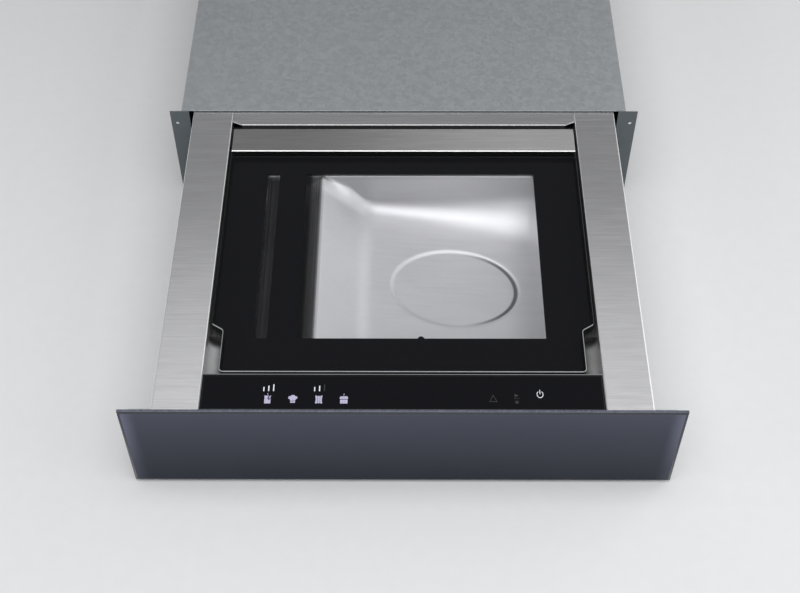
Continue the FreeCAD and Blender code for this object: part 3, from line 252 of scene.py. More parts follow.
def turned(colour, rough=0.2):
    """Ground or turned metal with fine tool marks."""
    sh = Shader()
    marks = sh.noise(900.0, detail=2.0, rough=0.6)
    cloud = sh.noise(30.0, detail=3.0, shift=5.5)
    tone = sh.mottle(marks, scaled(colour, 0.9), scaled(colour, 1.08))
    tone = sh.blend(sh.span(cloud, 0.45, 0.75, 0.0, 0.35), tone, scaled(colour, 0.78))
    return sh.finish(tone, sh.span(marks, 0.3, 0.7, rough, rough + 0.12), sh.bump(marks, 0.00003),
                     Metallic=0.95)


def front_glass():
    """Coated glass: dark blue grey, with painted light that makes it lighter towards the top and a painted
    reflection that makes it lighter towards its polished sides.
    """
    sh = Shader()
    side = sh.math("ABSOLUTE", sh.axis(0))
    cloud = sh.noise(6.0, detail=3.0)
    flake = sh.noise(2600.0, detail=1.0, shift=1.0)
    # painted light: the colour grows lighter towards the top of the pane
    rise = sh.math("POWER", sh.span(sh.axis(2), 0.0, 0.138, 0.0, 1.0), 1.5)
    tone = sh.blend(rise, (0.011, 0.017, 0.028), (0.074, 0.083, 0.118))
    # painted reflection: a purple grey sheen near the left and right sides
    painted_side_glow = sh.times(sh.span(side, 0.279, 0.298, 0.0, 0.75, True), sh.span(sh.axis(2), 0.03, 0.11, 0.35, 1.0))
    tone = sh.blend(painted_side_glow, tone, (0.205, 0.208, 0.300))
    tone = sh.blend(sh.span(cloud, 0.35, 0.7, 0.0, 0.20), tone, (0.045, 0.052, 0.075))
    tone = sh.blend(sh.span(flake, 0.62, 0.75, 0.0, 0.18), tone, (0.14, 0.15, 0.19))
    gloss = sh.span(cloud, 0.3, 0.7, 0.10, 0.15)
    return sh.finish(tone, gloss, IOR=1.5, Specular_IOR_Level=0.15)


def glass_edge(colour, rough=0.22):
    """Ground and polished edge of a pane."""
    sh = Shader()
    grind = sh.noise((240.0, 240.0, 1600.0), detail=3.0, rough=0.65)
    cloud = sh.noise(40.0, detail=2.0, shift=2.6)
    tone = sh.mottle(grind, scaled(colour, 0.75), scaled(colour, 1.25))
    tone = sh.blend(sh.span(cloud, 0.4, 0.7, 0.0, 0.3), tone, scaled(colour, 1.4))
    return sh.finish(tone, sh.span(grind, 0.3, 0.7, rough - 0.06, rough + 0.08), sh.bump(grind, 0.00002),
                     IOR=1.5)


def black_glass(colour=(0.0045, 0.0045, 0.0062), specular=0.3):
    """Printed black glass: almost flat, with a faint screen-print mottle."""
    sh = Shader()
    mottle = sh.noise(700.0, detail=2.0)
    cloud = sh.noise(8.0, detail=3.0, shift=6.0)
    tone = sh.blend(sh.span(mottle, 0.35, 0.7, 0.0, 1.0), scaled(colour, 0.85), scaled(colour, 1.2))
    gloss = sh.span(cloud, 0.3, 0.7, 0.05, 0.085)
    return sh.finish(tone, gloss, IOR=1.5, Specular_IOR_Level=specular)


def clear_pane(tint, share):
    """Thin clear face: lets the view through, with a weak sheen that grows towards grazing angles."""
    sh = Shader()
    smear = sh.noise(9.0, detail=4.0, rough=0.6)
    clear = sh.node("BsdfTransparent")
    sh.feed(clear.inputs[0], sh.mottle(smear, tint, scaled(tint, 0.985)))
    sheen = sh.node("BsdfGlossy")
    sh.feed(sheen.inputs["Roughness"], sh.span(smear, 0.3, 0.7, 0.02, 0.05))
    fresnel = sh.node("Fresnel", IOR=1.5).outputs[0]
    outside = sh.math("SUBTRACT", 1.0, sh.node("NewGeometry").outputs["Backfacing"])
    mix = sh.node("MixShader")
    sh.feed(mix.inputs[0], sh.times(sh.times(fresnel, share), outside))
    sh.feed(mix.inputs[1], clear.outputs[0])
    sh.feed(mix.inputs[2], sheen.outputs[0])
    sh.feed(sh.out.inputs["Surface"], mix.outputs[0])
    return sh.mat


def tinted_print(shares, edges):
    """Half-clear tinted sheet: how much light passes steps up across the strip."""
    sh = Shader()
    grain = sh.noise(900.0, detail=2.0)
    streak = sh.noise((700.0, 3.0, 3.0), detail=2.0, rough=0.6, shift=1.3)
    share = sh.along(0, edges[0] * MM, edges[1] * MM, shares[0], shares[1])
    share = sh.times(share, sh.span(streak, 0.3, 0.7, 0.85, 1.15))
    share = sh.times(share, sh.span(grain, 0.3, 0.7, 0.94, 1.06))
    clear = sh.node("BsdfTransparent")
    sh.feed(clear.inputs[0], sh.node("CombineColor", Red=share, Green=share, Blue=share).outputs[0])
    sh.feed(sh.out.inputs["Surface"], clear.outputs[0])
    return sh.mat


def trim_line(colour, dark, inner, rear):
    """Black seat with a thin light line along its rear and outer edges."""
    sh = Shader()
    hair = sh.noise((14.0, 900.0, 900.0), detail=2.0, rough=0.7)
    light = sh.mottle(hair, scaled(colour, 0.92), scaled(colour, 1.06))
    shade = sh.mottle(hair, scaled(dark, 0.8), scaled(dark, 1.2))
    outside = sh.math("GREATER_THAN", sh.math("ABSOLUTE", sh.axis(0)), inner * MM)
    behind = sh.math("GREATER_THAN", sh.axis(1), rear * MM)
    line = sh.math("MAXIMUM", outside, behind)
    return sh.finish(sh.blend(line, shade, light), sh.span(hair, 0.3, 0.7, 0.30, 0.42), Metallic=0.6)


def pan_steel(painted_highlight, dark):
    """Steel pan under the lid: painted shade keeps it near black, except for a painted highlight on the outer
    flank of its finger scoops, stronger on the left scoop.
    """
    sh = Shader()
    hair = sh.noise((1500.0, 14.0, 1500.0), detail=2.0, rough=0.7)
    cloud = sh.noise(30.0, detail=3.0, shift=1.0)
    # mask of the painted highlight: outer flank of the scoops, at their front and below the deck
    flank = sh.span(sh.math("ABSOLUTE", sh.axis(0)), 0.1975, 0.2095, 0.0, 1.0, True)
    front = sh.along(1, -0.352, -0.343, 1.0, 0.0)
    low = sh.span(sh.axis(2), 0.1216, 0.1222, 1.0, 0.0)
    share = sh.times(sh.times(flank, front), low)
    # painted light: the left scoop's highlight is stronger than the right one's
    share = sh.times(share, sh.span(sh.axis(0), -0.1, 0.1, 1.0, 0.58))
    tone = sh.blend(share, dark, painted_highlight)
    tone = sh.blend(sh.span(hair, 0.3, 0.7, 0.0, 0.2), tone, scaled(painted_highlight, 0.5))
    tone = sh.blend(sh.span(cloud, 0.35, 0.7, 0.0, 0.2), tone, dark)
    return sh.finish(tone, sh.span(hair, 0.3, 0.7, 0.30, 0.40), sh.bump(hair, 0.00001), Metallic=0.15)


def basin_steel():
    """Satin pressed steel, faintly brushed along X, with painted shade towards the front, on the rear wall and
    on the oval's right flank, and painted highlights along its rear bends.
    """
    sh = Shader()
    hair = sh.noise((22.0, 1300.0, 1300.0), detail=2.0, rough=0.7)
    wide = sh.noise((4.0, 210.0, 210.0), detail=3.0, shift=2.0)
    cloud = sh.noise(11.0, detail=4.0, shift=5.0)
    mix = sh.math("ADD", sh.times(hair, 0.55), sh.times(wide, 0.45))
    tone = sh.mottle(mix, (0.73, 0.73, 0.74), (0.85, 0.85, 0.855))
    tone = sh.blend(sh.span(cloud, 0.35, 0.7, 0.0, 0.4), tone, (0.85, 0.85, 0.86))
    # painted shade: darker towards the front of the floor
    tone = sh.blend(sh.along(1, -0.34, -0.18, 0.5, 0.0), tone, (0.64, 0.64, 0.645))
    # painted shade on the rear wall
    painted_wall_shade = sh.along(1, -0.116, -0.099, 0.0, 0.75)
    tone = sh.blend(painted_wall_shade, tone, (0.42, 0.42, 0.43))
    # painted highlight: white along the bend between the ramp and the rear wall
    painted_ramp_highlight = sh.times(sh.along(0, -0.058, -0.036, 1.0, 0.0), sh.along(1, -0.127, -0.115, 0.0, 1.0))
    painted_ramp_highlight = sh.times(painted_ramp_highlight, sh.along(1, -0.1025, -0.0995, 1.0, 0.0))
    tone = sh.blend(painted_ramp_highlight, tone, (1.0, 1.0, 1.0))
    # painted highlight along the rear bend right of the ramp, which is also made rougher
    painted_bend_highlight = sh.times(sh.along(0, -0.03, 0.15, 0.0, 1.0), sh.along(1, -0.158, -0.125, 0.0, 1.0))
    tone = sh.blend(painted_bend_highlight, tone, (0.86, 0.86, 0.865))
    # painted shade on the rear wall above the right rear bend
    painted_shade_above_bend = sh.times(sh.along(1, -0.106, -0.099, 0.0, 0.9), painted_bend_highlight)
    tone = sh.blend(painted_shade_above_bend, tone, (0.56, 0.56, 0.57))
    gloss = sh.math("ADD", sh.span(mix, 0.25, 0.75, 0.42, 0.51), sh.times(painted_bend_highlight, 0.06))
    across, along = (sh.span(sh.axis(k), (middle - half) * MM, (middle + half) * MM, -1.0, 1.0, clamp=False)
                     for k, (middle, half) in enumerate(zip(OVAL_CENTRE, OVAL_HALF)))
    ratio = sh.math("SQRT", sh.math("ADD", sh.times(across, across), sh.times(along, along)))
    # painted shade on the oval's right flank
    flank = sh.span(sh.math("ABSOLUTE", sh.math("SUBTRACT", ratio, 0.957)), 0.05, 0.015, 0.0, 1.0, True)
    shade = sh.times(flank, sh.span(across, 0.05, 0.8, 0.0, 0.85, True))
    tone = sh.blend(shade, tone, (0.09, 0.09, 0.095))
    return sh.finish(tone, gloss, sh.bump(mix, 0.000012), (0.0, 1.0, 0.0), Metallic=0.62, Anisotropic=0.3)


def silicone(colour):
    """Matt silicone or rubber with a faint bloom and fine pores."""
    sh = Shader()
    pores = sh.noise(1100.0, detail=3.0, rough=0.7)
    bloom = sh.noise(26.0, detail=4.0, shift=3.0)
    tone = sh.blend(sh.span(bloom, 0.35, 0.7, 0.0, 1.0), scaled(colour, 0.85), scaled(colour, 1.3))
    tone = sh.blend(sh.span(pores, 0.55, 0.75, 0.0, 0.5), tone, scaled(colour, 0.6))
    return sh.finish(tone, sh.span(bloom, 0.3, 0.7, 0.56, 0.72), sh.bump(pores, 0.00005))


def weave(colour):
    """Coated glass cloth."""
    sh = Shader()
    warp = sh.node("TexWave", {"bands_direction": "X"}, Vector=sh.place, Scale=480.0, Distortion=0.4,
                   Detail=1.0).outputs[1]
    weft = sh.node("TexWave", {"bands_direction": "Y"}, Vector=sh.place, Scale=480.0, Distortion=0.4,
                   Detail=1.0).outputs[1]
    grid = sh.times(warp, weft)
    tone = sh.blend(grid, scaled(colour, 0.7), scaled(colour, 1.25))
    return sh.finish(tone, sh.span(grid, 0.0, 1.0, 0.55, 0.35), sh.bump(grid, 0.00006))


def circuit_board():
    """Green solder mask with tracks and pads."""
    sh = Shader()
    tracks = sh.node("TexBrick", Vector=sh.place, Scale=150.0, Mortar_Size=0.03).outputs[1]
    pads = sh.cells(420.0).outputs["Distance"]
    cloud = sh.noise(40.0, detail=3.0)
    tone = sh.mottle(cloud, (0.02, 0.13, 0.055), (0.03, 0.19, 0.08))
    tone = sh.blend(sh.times(tracks, 0.5), tone, (0.07, 0.30, 0.14))
    tone = sh.blend(sh.span(pads, 0.16, 0.12, 0.0, 0.8), tone, (0.55, 0.50, 0.40))
    return sh.finish(tone, sh.span(pads, 0.1, 0.3, 0.25, 0.42), sh.bump(tracks, 0.00004))


def winding(colour):
    """Varnished copper winding round a laminated core."""
    sh = Shader()
    turns = sh.node("TexWave", {"bands_direction": "X"}, Vector=sh.place, Scale=160.0, Distortion=0.6,
                    Detail=2.0).outputs[1]
    cloud = sh.noise(60.0, detail=3.0)
    tone = sh.blend(turns, scaled(colour, 0.45), scaled(colour, 1.3))
    tone = sh.blend(sh.span(cloud, 0.4, 0.7, 0.0, 0.4), tone, scaled(colour, 0.6))
    return sh.finish(tone, sh.span(turns, 0.0, 1.0, 0.4, 0.25), sh.bump(turns, 0.0002), Coat_Weight=0.4,
                     Coat_Roughness=0.15)


def glowing(colour, strength):
    """Printed mark lit from behind, slightly uneven."""
    sh = Shader()
    spots = sh.noise(500.0, detail=2.0)
    tone = sh.mottle(spots, scaled(colour, 0.7), colour)
    shader = sh.node("BsdfPrincipled", Roughness=0.4)
    sh.feed(shader.inputs["Base Color"], sh.blend(0.7, tone, (0.02, 0.02, 0.02)))
    sh.feed(shader.inputs["Emission Color"], tone)
    shader.inputs["Emission Strength"].default_value = strength
    sh.feed(sh.out.inputs["Surface"], shader.outputs[0])
    return sh.mat


MATS = {
    "front_glass": front_glass(),
    "front_bevel": glass_edge((0.038, 0.041, 0.056), 0.18),
    "front_edge": glass_edge((0.10, 0.11, 0.14), 0.25),
    "control_glass": black_glass(),
    "control_edge": glass_edge((0.03, 0.03, 0.034)),
    "lid_print": black_glass((0.0050, 0.0050, 0.0068), 0.2),
    "lid_top": clear_pane((0.965, 0.965, 0.972), 0.55),
    # painted highlight on the lid's upper edge arcs; the dark copy below is painted shade on the same edge
    "lid_edge": glass_edge((0.29, 0.295, 0.30), 0.2),
    "lid_side": glass_edge((0.008, 0.009, 0.010), 0.22),
    "print_fade": tinted_print((0.20, 0.54), (-112.5, -108.0)),
    "print_slot": tinted_print((0.62, 0.76), (-152.0, -148.0)),
    # painted light: this steel is lighter towards the front and darker towards the rear
    "brushed_trim": brushed((0.70, 0.695, 0.70), "x", metallic=0.86, rough=0.33,
                            painted_light=(1, (-0.40, 1.33), (-0.07, 0.80))),
    # painted light: this steel is darker at the left end and lighter at the right end
    "hinge_steel": brushed((0.47, 0.46, 0.46), "x", contrast=0.12,
                           painted_light=(0, (-0.15, 0.72), (0.15, 1.5))),
    # painted shade: dark steel for the fold under the rear strip's front edge
    "painted_shade_steel": brushed((0.10, 0.10, 0.105), "x", metallic=0.6, rough=0.42),
    # painted shade on the pan and a painted highlight on the scoops' outer flanks
    "pan_steel": pan_steel((0.97, 0.97, 0.975), (0.016, 0.016, 0.017)),
    # painted highlight: light steel for the upper edges of the rails and the hinge cover
    "trim_painted_highlight": brushed((0.96, 0.96, 0.965), "x", metallic=0.5, rough=0.3, aniso=0.3, contrast=0.04),
    "basin_steel": basin_steel(),
    "galvanised_sheet": galvanised((0.52, 0.54, 0.55)),
    "flange_coat": painted((0.118, 0.140, 0.150), 0.42, metallic=0.3),
    "runner_zinc": brushed((0.60, 0.61, 0.62), "y", metallic=0.9, rough=0.28),
    "cage_plastic": painted((0.16, 0.16, 0.17), 0.5),
    "black_plastic": painted((0.03, 0.03, 0.032), 0.5),
    "light_trim": trim_line((0.34, 0.34, 0.35), (0.012, 0.012, 0.013), 212.3, -404.35),
    "clear_plastic": painted((0.80, 0.80, 0.86), 0.3),
    "board_green": circuit_board(),
    "silicone": silicone((0.035, 0.035, 0.039)),
    "silicone_lip": silicone((0.085, 0.085, 0.095)),
    "black_rubber": silicone((0.022, 0.022, 0.023)),
    "seal_aluminium": brushed((0.72, 0.72, 0.73), "y", rough=0.3),
    "band_metal": brushed((0.70, 0.66, 0.58), "y", rough=0.25),
    "cover_tape": weave((0.42, 0.34, 0.24)),
    "bright_steel": turned((0.75, 0.75, 0.76)),
    "brass": turned((0.70, 0.52, 0.24), 0.25),
    "pump_paint": painted((0.10, 0.105, 0.11), 0.4, 500.0, depth=0.00008),
    "pump_aluminium": cast((0.60, 0.60, 0.61)),
    "coil_varnish": winding((0.36, 0.13, 0.05)),
    "screw_steel": turned((0.58, 0.58, 0.59), 0.25),
    "mark_lit": glowing((0.90, 0.92, 0.97), 0.75),
    "mark_soft": glowing((0.60, 0.57, 0.78), 0.62),
    "mark_dim": glowing((0.032, 0.032, 0.036), 0.3),
}

for material_name, material in MATS.items():
    material.name = material_name


# ---- mesh helpers

def make_piece(name, part, mats, body, nodes=(), angle=32, orient=True, weighted=True):
    """Builds a mesh object and puts it on its body. Part: points in millimetres, faces, material numbers."""
    verts, faces, tags = part
    mesh = bpy.data.meshes.new(name)
    mesh.from_pydata([(x * MM, y * MM, z * MM) for x, y, z in verts], [], faces)
    for mat in mats:
        mesh.materials.append(MATS[mat])
    mesh.polygons.foreach_set("material_index", tags)
    work = bmesh.new()
    work.from_mesh(mesh)
    bmesh.ops.remove_doubles(work, verts=work.verts, dist=1e-6)
    if orient:
        bmesh.ops.recalc_face_normals(work, faces=work.faces)
    work.to_mesh(mesh)
    work.free()
    mesh.polygons.foreach_set("use_smooth", [True] * len(mesh.polygons))
    mesh.set_sharp_from_angle(angle=math.radians(angle))
    obj = bpy.data.objects.new(name, mesh)
    link(obj)
    if weighted:
        modifier = obj.modifiers.new("normals", "WEIGHTED_NORMAL")
        modifier.keep_sharp = True
    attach(obj, body)
    if nodes:
        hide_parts(*nodes)
    return obj


def loop_of(corners, inset, steps):
    """Points of a closed outline with round corners (x, y, radius), moved inwards by inset."""
    points = []
    for index, (x, y, radius) in enumerate(corners):
        before, after = corners[index - 1], corners[(index + 1) % len(corners)]
        ax, ay = x - before[0], y - before[1]
        bx, by = after[0] - x, after[1] - y
        la, lb = math.hypot(ax, ay), math.hypot(bx, by)
        ax, ay, bx, by = ax / la, ay / la, bx / lb, by / lb
        cross, dot = ax * by - ay * bx, ax * bx + ay * by
        sign = 1 if cross > 0 else -1
        mitre_x, mitre_y = (ay + by) / (1 + dot), -(ax + bx) / (1 + dot)
        start, sweep = math.atan2(-ax, ay), math.atan2(cross, dot)
        for step in range(steps + 1):
            if sign > 0 and radius <= inset:
                points.append((x - inset * mitre_x, y - inset * mitre_y))
                continue
            angle = start + sweep * step / steps
            reach = sign * radius - inset
            points.append((x - sign * radius * mitre_x + reach * math.cos(angle),
                           y - sign * radius * mitre_y + reach * math.sin(angle)))
    return points


def rectangle(x0, x1, y0, y1, radius):
    return [(x0, y0, radius), (x1, y0, radius), (x1, y1, radius), (x0, y1, radius)]


def rounded_levels(low, high, radius):
    """(height, inset) pairs for a slab with round upper and lower edges."""
    quarter = [(radius * (1 - math.cos(a)), radius * (1 - math.sin(a)))
               for a in (math.pi / 8 * k for k in range(5))]
    return [(low + h, i) for h, i in quarter] + [(high - h, i) for h, i in reversed(quarter)]


def circle(count):
    """(cosine, sine) pairs of evenly spread angles."""
    return [(math.cos(2 * math.pi * k / count), math.sin(2 * math.pi * k / count)) for k in range(count)]


def tube(rings, closed=False):
    """Open skin over rings of points; closed also joins the last ring to the first."""
    count = len(rings[0])
    loops = [range(k * count, (k + 1) * count) for k in range(len(rings))]
    faces = []
    for lower, upper in zip(loops, loops[1:] + (loops[:1] if closed else [])):
        faces += [(lower[k], lower[(k + 1) % count], upper[(k + 1) % count], upper[k]) for k in range(count)]
    return [point for ring in rings for point in ring], faces, [0] * len(faces)


def capped(rings, tags=(0, 0, 0)):
    """Solid over rings of points. Tags: material of the last cap, the sides and the first cap."""
    verts, faces, _ = tube(rings)
    count = len(rings[0])
    marks = [tags[1]] * len(faces) + [tags[2], tags[0]]
    faces += [tuple(reversed(range(count))), tuple(range(len(verts) - count, len(verts)))]
    return verts, faces, marks


def slab(corners, levels, tags=(0, 1, 2), steps=6, turn=lambda u, v, w: (u, v, w)):
    """Solid between stacked outlines, given as (height, inset) levels."""
    return capped([[turn(u, v, height) for u, v in loop_of(corners, inset, steps)] for height, inset in levels],
                  tags)


def polished(part, test):
    """Gives the second material to the faces whose middle passes a test; where it is called, that material is a
    painted highlight.
    """
    verts, faces, marks = part
    for index, face in enumerate(faces):
        if test(sum((Vector(verts[k]) for k in face), Vector()) / len(face)):
            marks[index] = 1
    return part


def join_parts(parts):
    """One vertex, face and tag list from several."""
    verts, faces, marks = [], [], []
    for part_verts, part_faces, part_marks in parts:
        base = len(verts)
        verts += part_verts
        faces += [tuple(base + i for i in face) for face in part_faces]
        marks += part_marks
    return verts, faces, marks


def sheet(outer, holes, z, tag=0):
    """Flat sheet with holes."""
    loops = [outer] + holes
    points = [point for loop in loops for point in loop]
    flat = tessellate_polygon([[Vector((x, y, 0)) for x, y in loop] for loop in loops])
    faces = []
    for a, b, c in flat:
        (ax, ay), (bx, by), (cx, cy) = points[a], points[b], points[c]
        up = (bx - ax) * (cy - ay) - (by - ay) * (cx - ax) > 0
        faces.append((a, b, c) if up else (a, c, b))
    return [(x, y, z) for x, y in points], faces, [tag] * len(faces)


def bar_along(axis, corners, start, stop, edge=0.3, steps=4, tag=0):
    """Profile with round corners drawn out along x or y, with softened ends."""
    turns = {"y": lambda u, v, w: (u, w, v), "x": lambda u, v, w: (w, u, v)}
    levels = [(start, edge), (start + edge, 0.0), (stop - edge, 0.0), (stop, edge)]
    return slab(corners, levels, (tag, tag, tag), steps, turns[axis])


# ---- pieces

def make_front_glass():
    """Front pane with a wide polished bevel round its face."""
    low, high = node_box("front_glass")
    corners = rectangle(low[0], high[0], low[2], high[2], 0.8)
    face, back = low[1], high[1]
    levels = [(back, 0.4), (back - 0.4, 0.0), (face + 1.5, 0.0), (face + 1.1, 0.25), (face + 0.12, 2.75),
              (face, 3.15)]
    verts, faces, marks = slab(corners, levels, (0, 2, 2), 4, lambda u, v, w: (u, w, v))
    ring = (len(faces) - 2) // (len(levels) - 1)
    marks[3 * ring:5 * ring] = [1] * (2 * ring)    # the bevel
    make_piece("glass_front", (verts, faces, marks), ["front_glass", "front_bevel", "front_edge"],
               "drawer", ["front_glass"], angle=20)


def make_control_glass():
    """Black control strip with softened edges."""
    low, high = node_box("control_glass")
    corners = rectangle(low[0], high[0], low[1], high[1], 0.6)
    part = slab(corners, rounded_levels(low[2], high[2], 0.45), (0, 1, 1))
    make_piece("control_panel", part, ["control_glass", "control_edge"], "drawer",
               ["control_glass"])


def lid_corners():
    """Lid outline with its two finger notches."""
    low, high = node_box("lid_glass")
    step, back = high[0] - 13.3, low[1] + 62.0
    left, right = low[0], high[0]
    return [
        (-step, low[1], 5.0), (step, low[1], 5.0), (step, back - 6.0, 4.5), (right, back + 2.5, 6.0),
        (right, high[1], 1.5), (left, high[1], 1.5), (left, back + 2.5, 6.0), (-step, back - 6.0, 4.5),
    ]


def sight(x, depth, z):
    """Place at height z that the camera sees at (x, depth behind the front edge) on the deck plane."""
    line = Vector((x, DECK_FRONT + depth, TOP)) - EYE
    return EYE + line * ((EYE.z - z) / (EYE.z - TOP))


def make_lid():
    """Clear pane with polished edges, and the screen print just above its lower face."""
    low, high = node_box("lid_glass")
    corners = lid_corners()
    verts, faces, marks = slab(corners, rounded_levels(low[2], high[2], 0.9), (0, 1, 0), 8)
    # painted shade and highlight: the edge faces are dark below the upper arc and at the outer sides, and the
    # upper arc's light grey is a painted highlight
    for index, face in enumerate(faces[:-2]):    # dark below its upper edge and at its outer sides
        if index < (len(faces) - 2) * 5 // 9 or min(abs(verts[k][0]) for k in face) > high[0] - 2.0:
            marks[index] = 2
    make_piece("lid_pane", (verts, faces, marks), ["lid_top", "lid_edge", "lid_side"], "lid",
               ["lid_glass"])

    level = low[2] + 0.35    # the print's edges are given as they are seen on the deck plane
    slot_left, slot_right, left, fade_right, right = (
        sight(x, 218.0, level).x for x in (-162.0, -147.8, -115.3, -96.9, 155.5))
    front, back = (sight(20.0, depth, level).y for depth in (94.0, 342.0))
    window = [(left, front), (left, back), (right, back), (right, front)]
    tab = [(3.6, 0.0), (3.0, 1.5), (1.6, 2.7), (0.0, 3.1), (-1.6, 2.7), (-3.0, 1.5), (-3.6, 0.0)]
    window += [(20.0 + u, front + v) for u, v in tab]
    slot = [(slot_left, front), (slot_left, back), (slot_right, back), (slot_right, front)]
    parts = [sheet(loop_of(corners, 0.4, 8), [window, slot], level)]
    # tinted sheets darken the view through the strip left of the window and through the slot
    for x0, x1, tag in ((left, fade_right, 1), (slot_left, slot_right, 2)):
        parts.append(sheet([(x0, front), (x1, front), (x1, back), (x0, back)], [], level - 0.05, tag))
    make_piece("lid_print", join_parts(parts), ["lid_print", "print_fade", "print_slot"], "lid",
               weighted=False, orient=False)


def make_lid_seals():
    """Gasket round the chamber and the rib over the seal bar, both under the lid."""
    low, high = node_box("lid_gasket")
    z0, z1 = low[2], high[2]
    section = [(0.6, z1), (0.0, z1 - 1.0), (0.3, z0 + 1.6), (1.3, z0 + 0.4), (2.8, z0), (4.4, z0 + 0.2),
               (5.4, z0 + 1.2), (6.4, z0 + 2.1), (7.6, z0 + 2.5), (8.0, z1 - 0.9), (7.8, z1)]
    outline = rectangle(low[0], high[0], low[1], high[1], 12.0)
    part = tube([[(x, y, z) for x, y in loop_of(outline, inset, 8)] for inset, z in section], closed=True)
    make_piece("lid_seal", part, ["silicone"], "lid", ["lid_gasket"], angle=60)

    low, high = node_box("counter_strip")
    x0, x1, z0, z1 = low[0], high[0], low[2], high[2]
    body = [(x0, z0 + 0.9, 0.5), (x0 + 2.6, z0 + 0.9, 0.3), (x0 + 3.4, z0, 0.5), (x1 - 3.4, z0, 0.5),
            (x1 - 2.6, z0 + 0.9, 0.3), (x1, z0 + 0.9, 0.5), (x1, z1 - 1.2, 0.3), (x1 - 2.4, z1 - 1.2, 0.2),
            (x1 - 2.4, z1 - 0.3, 0.2), (x0 + 4.6, z1 - 0.3, 0.2), (x0 + 4.2, z1 - 1.1, 0.2),
            (x0 + 3.4, z1 - 1.1, 0.2), (x0 + 3.0, z1 - 0.3, 0.2), (x0, z1 - 0.3, 0.5)]
    lip = [(x1 - 2.1, z1 - 1.15, 0.2), (x1 - 0.1, z1 - 1.15, 0.3), (x1 - 0.1, z1 - 0.2, 0.5),
           (x1 - 2.1, z1 - 0.2, 0.3)]
    part = join_parts([bar_along("y", body, low[1], high[1]),
                       bar_along("y", lip, low[1] + 0.2, high[1] - 0.2, tag=1)])
    make_piece("counter_rib", part, ["silicone", "silicone_lip"], "lid", ["counter_strip"])


def make_hinge_bar():
    """Folded bar behind the glass; its upper front edge gets a light steel, a painted highlight."""
    low, high = node_box("lid_hinge_bar")
    back, front = high[1], -69.0
    skin, roof = 1.5, high[2]
    profile = [
        (low[1], GLASS_UNDER - skin, 0.4), (front + skin, GLASS_UNDER - skin, 1.0),
        (front + skin, roof - skin, 0.5), (back - skin, roof - skin, 0.8), (back - skin, roof - 6.0, 0.4),
        (back, roof - 6.0, 0.4), (back, roof, 2.3), (front, roof, 1.5), (front, GLASS_UNDER, 0.3),
        (low[1], GLASS_UNDER, 0.4),
    ]
    part = polished(bar_along("x", profile, low[0], high[0], 0.4, 6),
                    lambda middle: middle.z > roof - 1.55 and middle.y < front + 1.4)
    make_piece("hinge_cover", part, ["hinge_steel", "trim_painted_highlight"], "lid", ["lid_hinge_bar"])


def make_rails():
    """Folded side trims; their upper long edges get a light steel, a painted highlight."""
    for name, side in (("left", -1), ("right", 1)):
        node = f"rail_cover_{name}"
        low, high = node_box(node)
        inner, outer = sorted((abs(low[0]), abs(high[0])))
        skin, top = 1.2, high[2]
        profile = [
            (inner, low[2], 0.3), (inner + skin, low[2], 0.3), (inner + skin, top - skin, 0.5),
            (outer - skin, top - skin, 0.5), (outer - skin, top - 15.5, 0.3), (outer, top - 15.5, 0.3),
            (outer, top, 1.9), (inner, top, 1.7),
        ]
        if side < 0:
            profile = [(-u, v, r) for u, v, r in reversed(profile)]
        part = polished(bar_along("y", profile, low[1], high[1], 0.2, 6), lambda middle: (
            middle.z > top - 1.75 and min(abs(abs(middle.x) - edge) for edge in (inner, outer)) < 1.0))
        make_piece(f"side_trim_{name}", part, ["brushed_trim", "trim_painted_highlight"], "drawer", [node])


def make_rear_strip():
    """Rear deck plate with bevelled front corners and a fold under its front edge, which is dark with painted
    shade.
    """
    low, high = node_box("rear_deck_strip")
    x, y0, y1, top = high[0], low[1], high[1], high[2]
    corners = [(-x + 12, y0, 1.0), (x - 12, y0, 1.0), (x, y0 + 6, 1.0), (x, y1, 0.5), (-x, y1, 0.5),
               (-x, y0 + 6, 1.0)]
    levels = [(top - 1.2, 0.1), (top - 0.9, 0.0), (top - 0.7, 0.06), (top - 0.4, 0.3), (top - 0.15, 0.6),
              (top, 1.0)]
    fold = [(y0, low[2], 0.3), (y0 + 1.2, low[2], 0.3), (y0 + 1.2, top - 1.25, 0.2), (y0, top - 1.25, 0.2)]
    # the fold gets the dark steel: painted shade under the front edge
    part = join_parts([slab(corners, levels, (0, 0, 0)), bar_along("x", fold, -x + 12, x - 12, tag=1)])
    make_piece("rear_strip", part, ["brushed_trim", "painted_shade_steel"], "drawer",
               ["rear_deck_strip"])


def floor_profile():
    """Height of the chamber floor along X, with round transitions."""
    knots = [(-173.0, 90.0, 0.0), (-123.0, 90.0, 9.0), (-100.0, 122.7, 2.2), (-95.0, 122.7, 2.6),
             (-44.0, 74.5, 44.0), (170.0, 56.0, 0.0)]
    line = [knots[0][:2]]
    for before, (x, z, radius), after in zip(knots, knots[1:], knots[2:]):
        first = Vector((before[0] - x, before[1] - z)).normalized()
        second = Vector((after[0] - x, after[1] - z)).normalized()
        half = first.angle(second) / 2
        trim = radius / math.tan(half)
        centre = Vector((x, z)) + (first + second).normalized() * (radius / math.sin(half))
        start, stop = Vector((x, z)) + first * trim - centre, Vector((x, z)) + second * trim - centre
        turn = start.angle_signed(stop)
        for k in range(13):
            c, s = math.cos(-turn * k / 12), math.sin(-turn * k / 12)
            line.append((centre.x + start.x * c - start.y * s, centre.y + start.x * s + start.y * c))
    line.append(knots[-1][:2])
    return line


FLOOR = floor_profile()


def floor_at(x):
    """Height of the chamber floor at a place along X."""
    if x <= FLOOR[0][0]:
        return FLOOR[0][1]
    for (x0, z0), (x1, z1) in zip(FLOOR, FLOOR[1:]):
        if x <= x1:
            return z0 + (z1 - z0) * (x - x0) / max(x1 - x0, 1e-9)
    return FLOOR[-1][1]


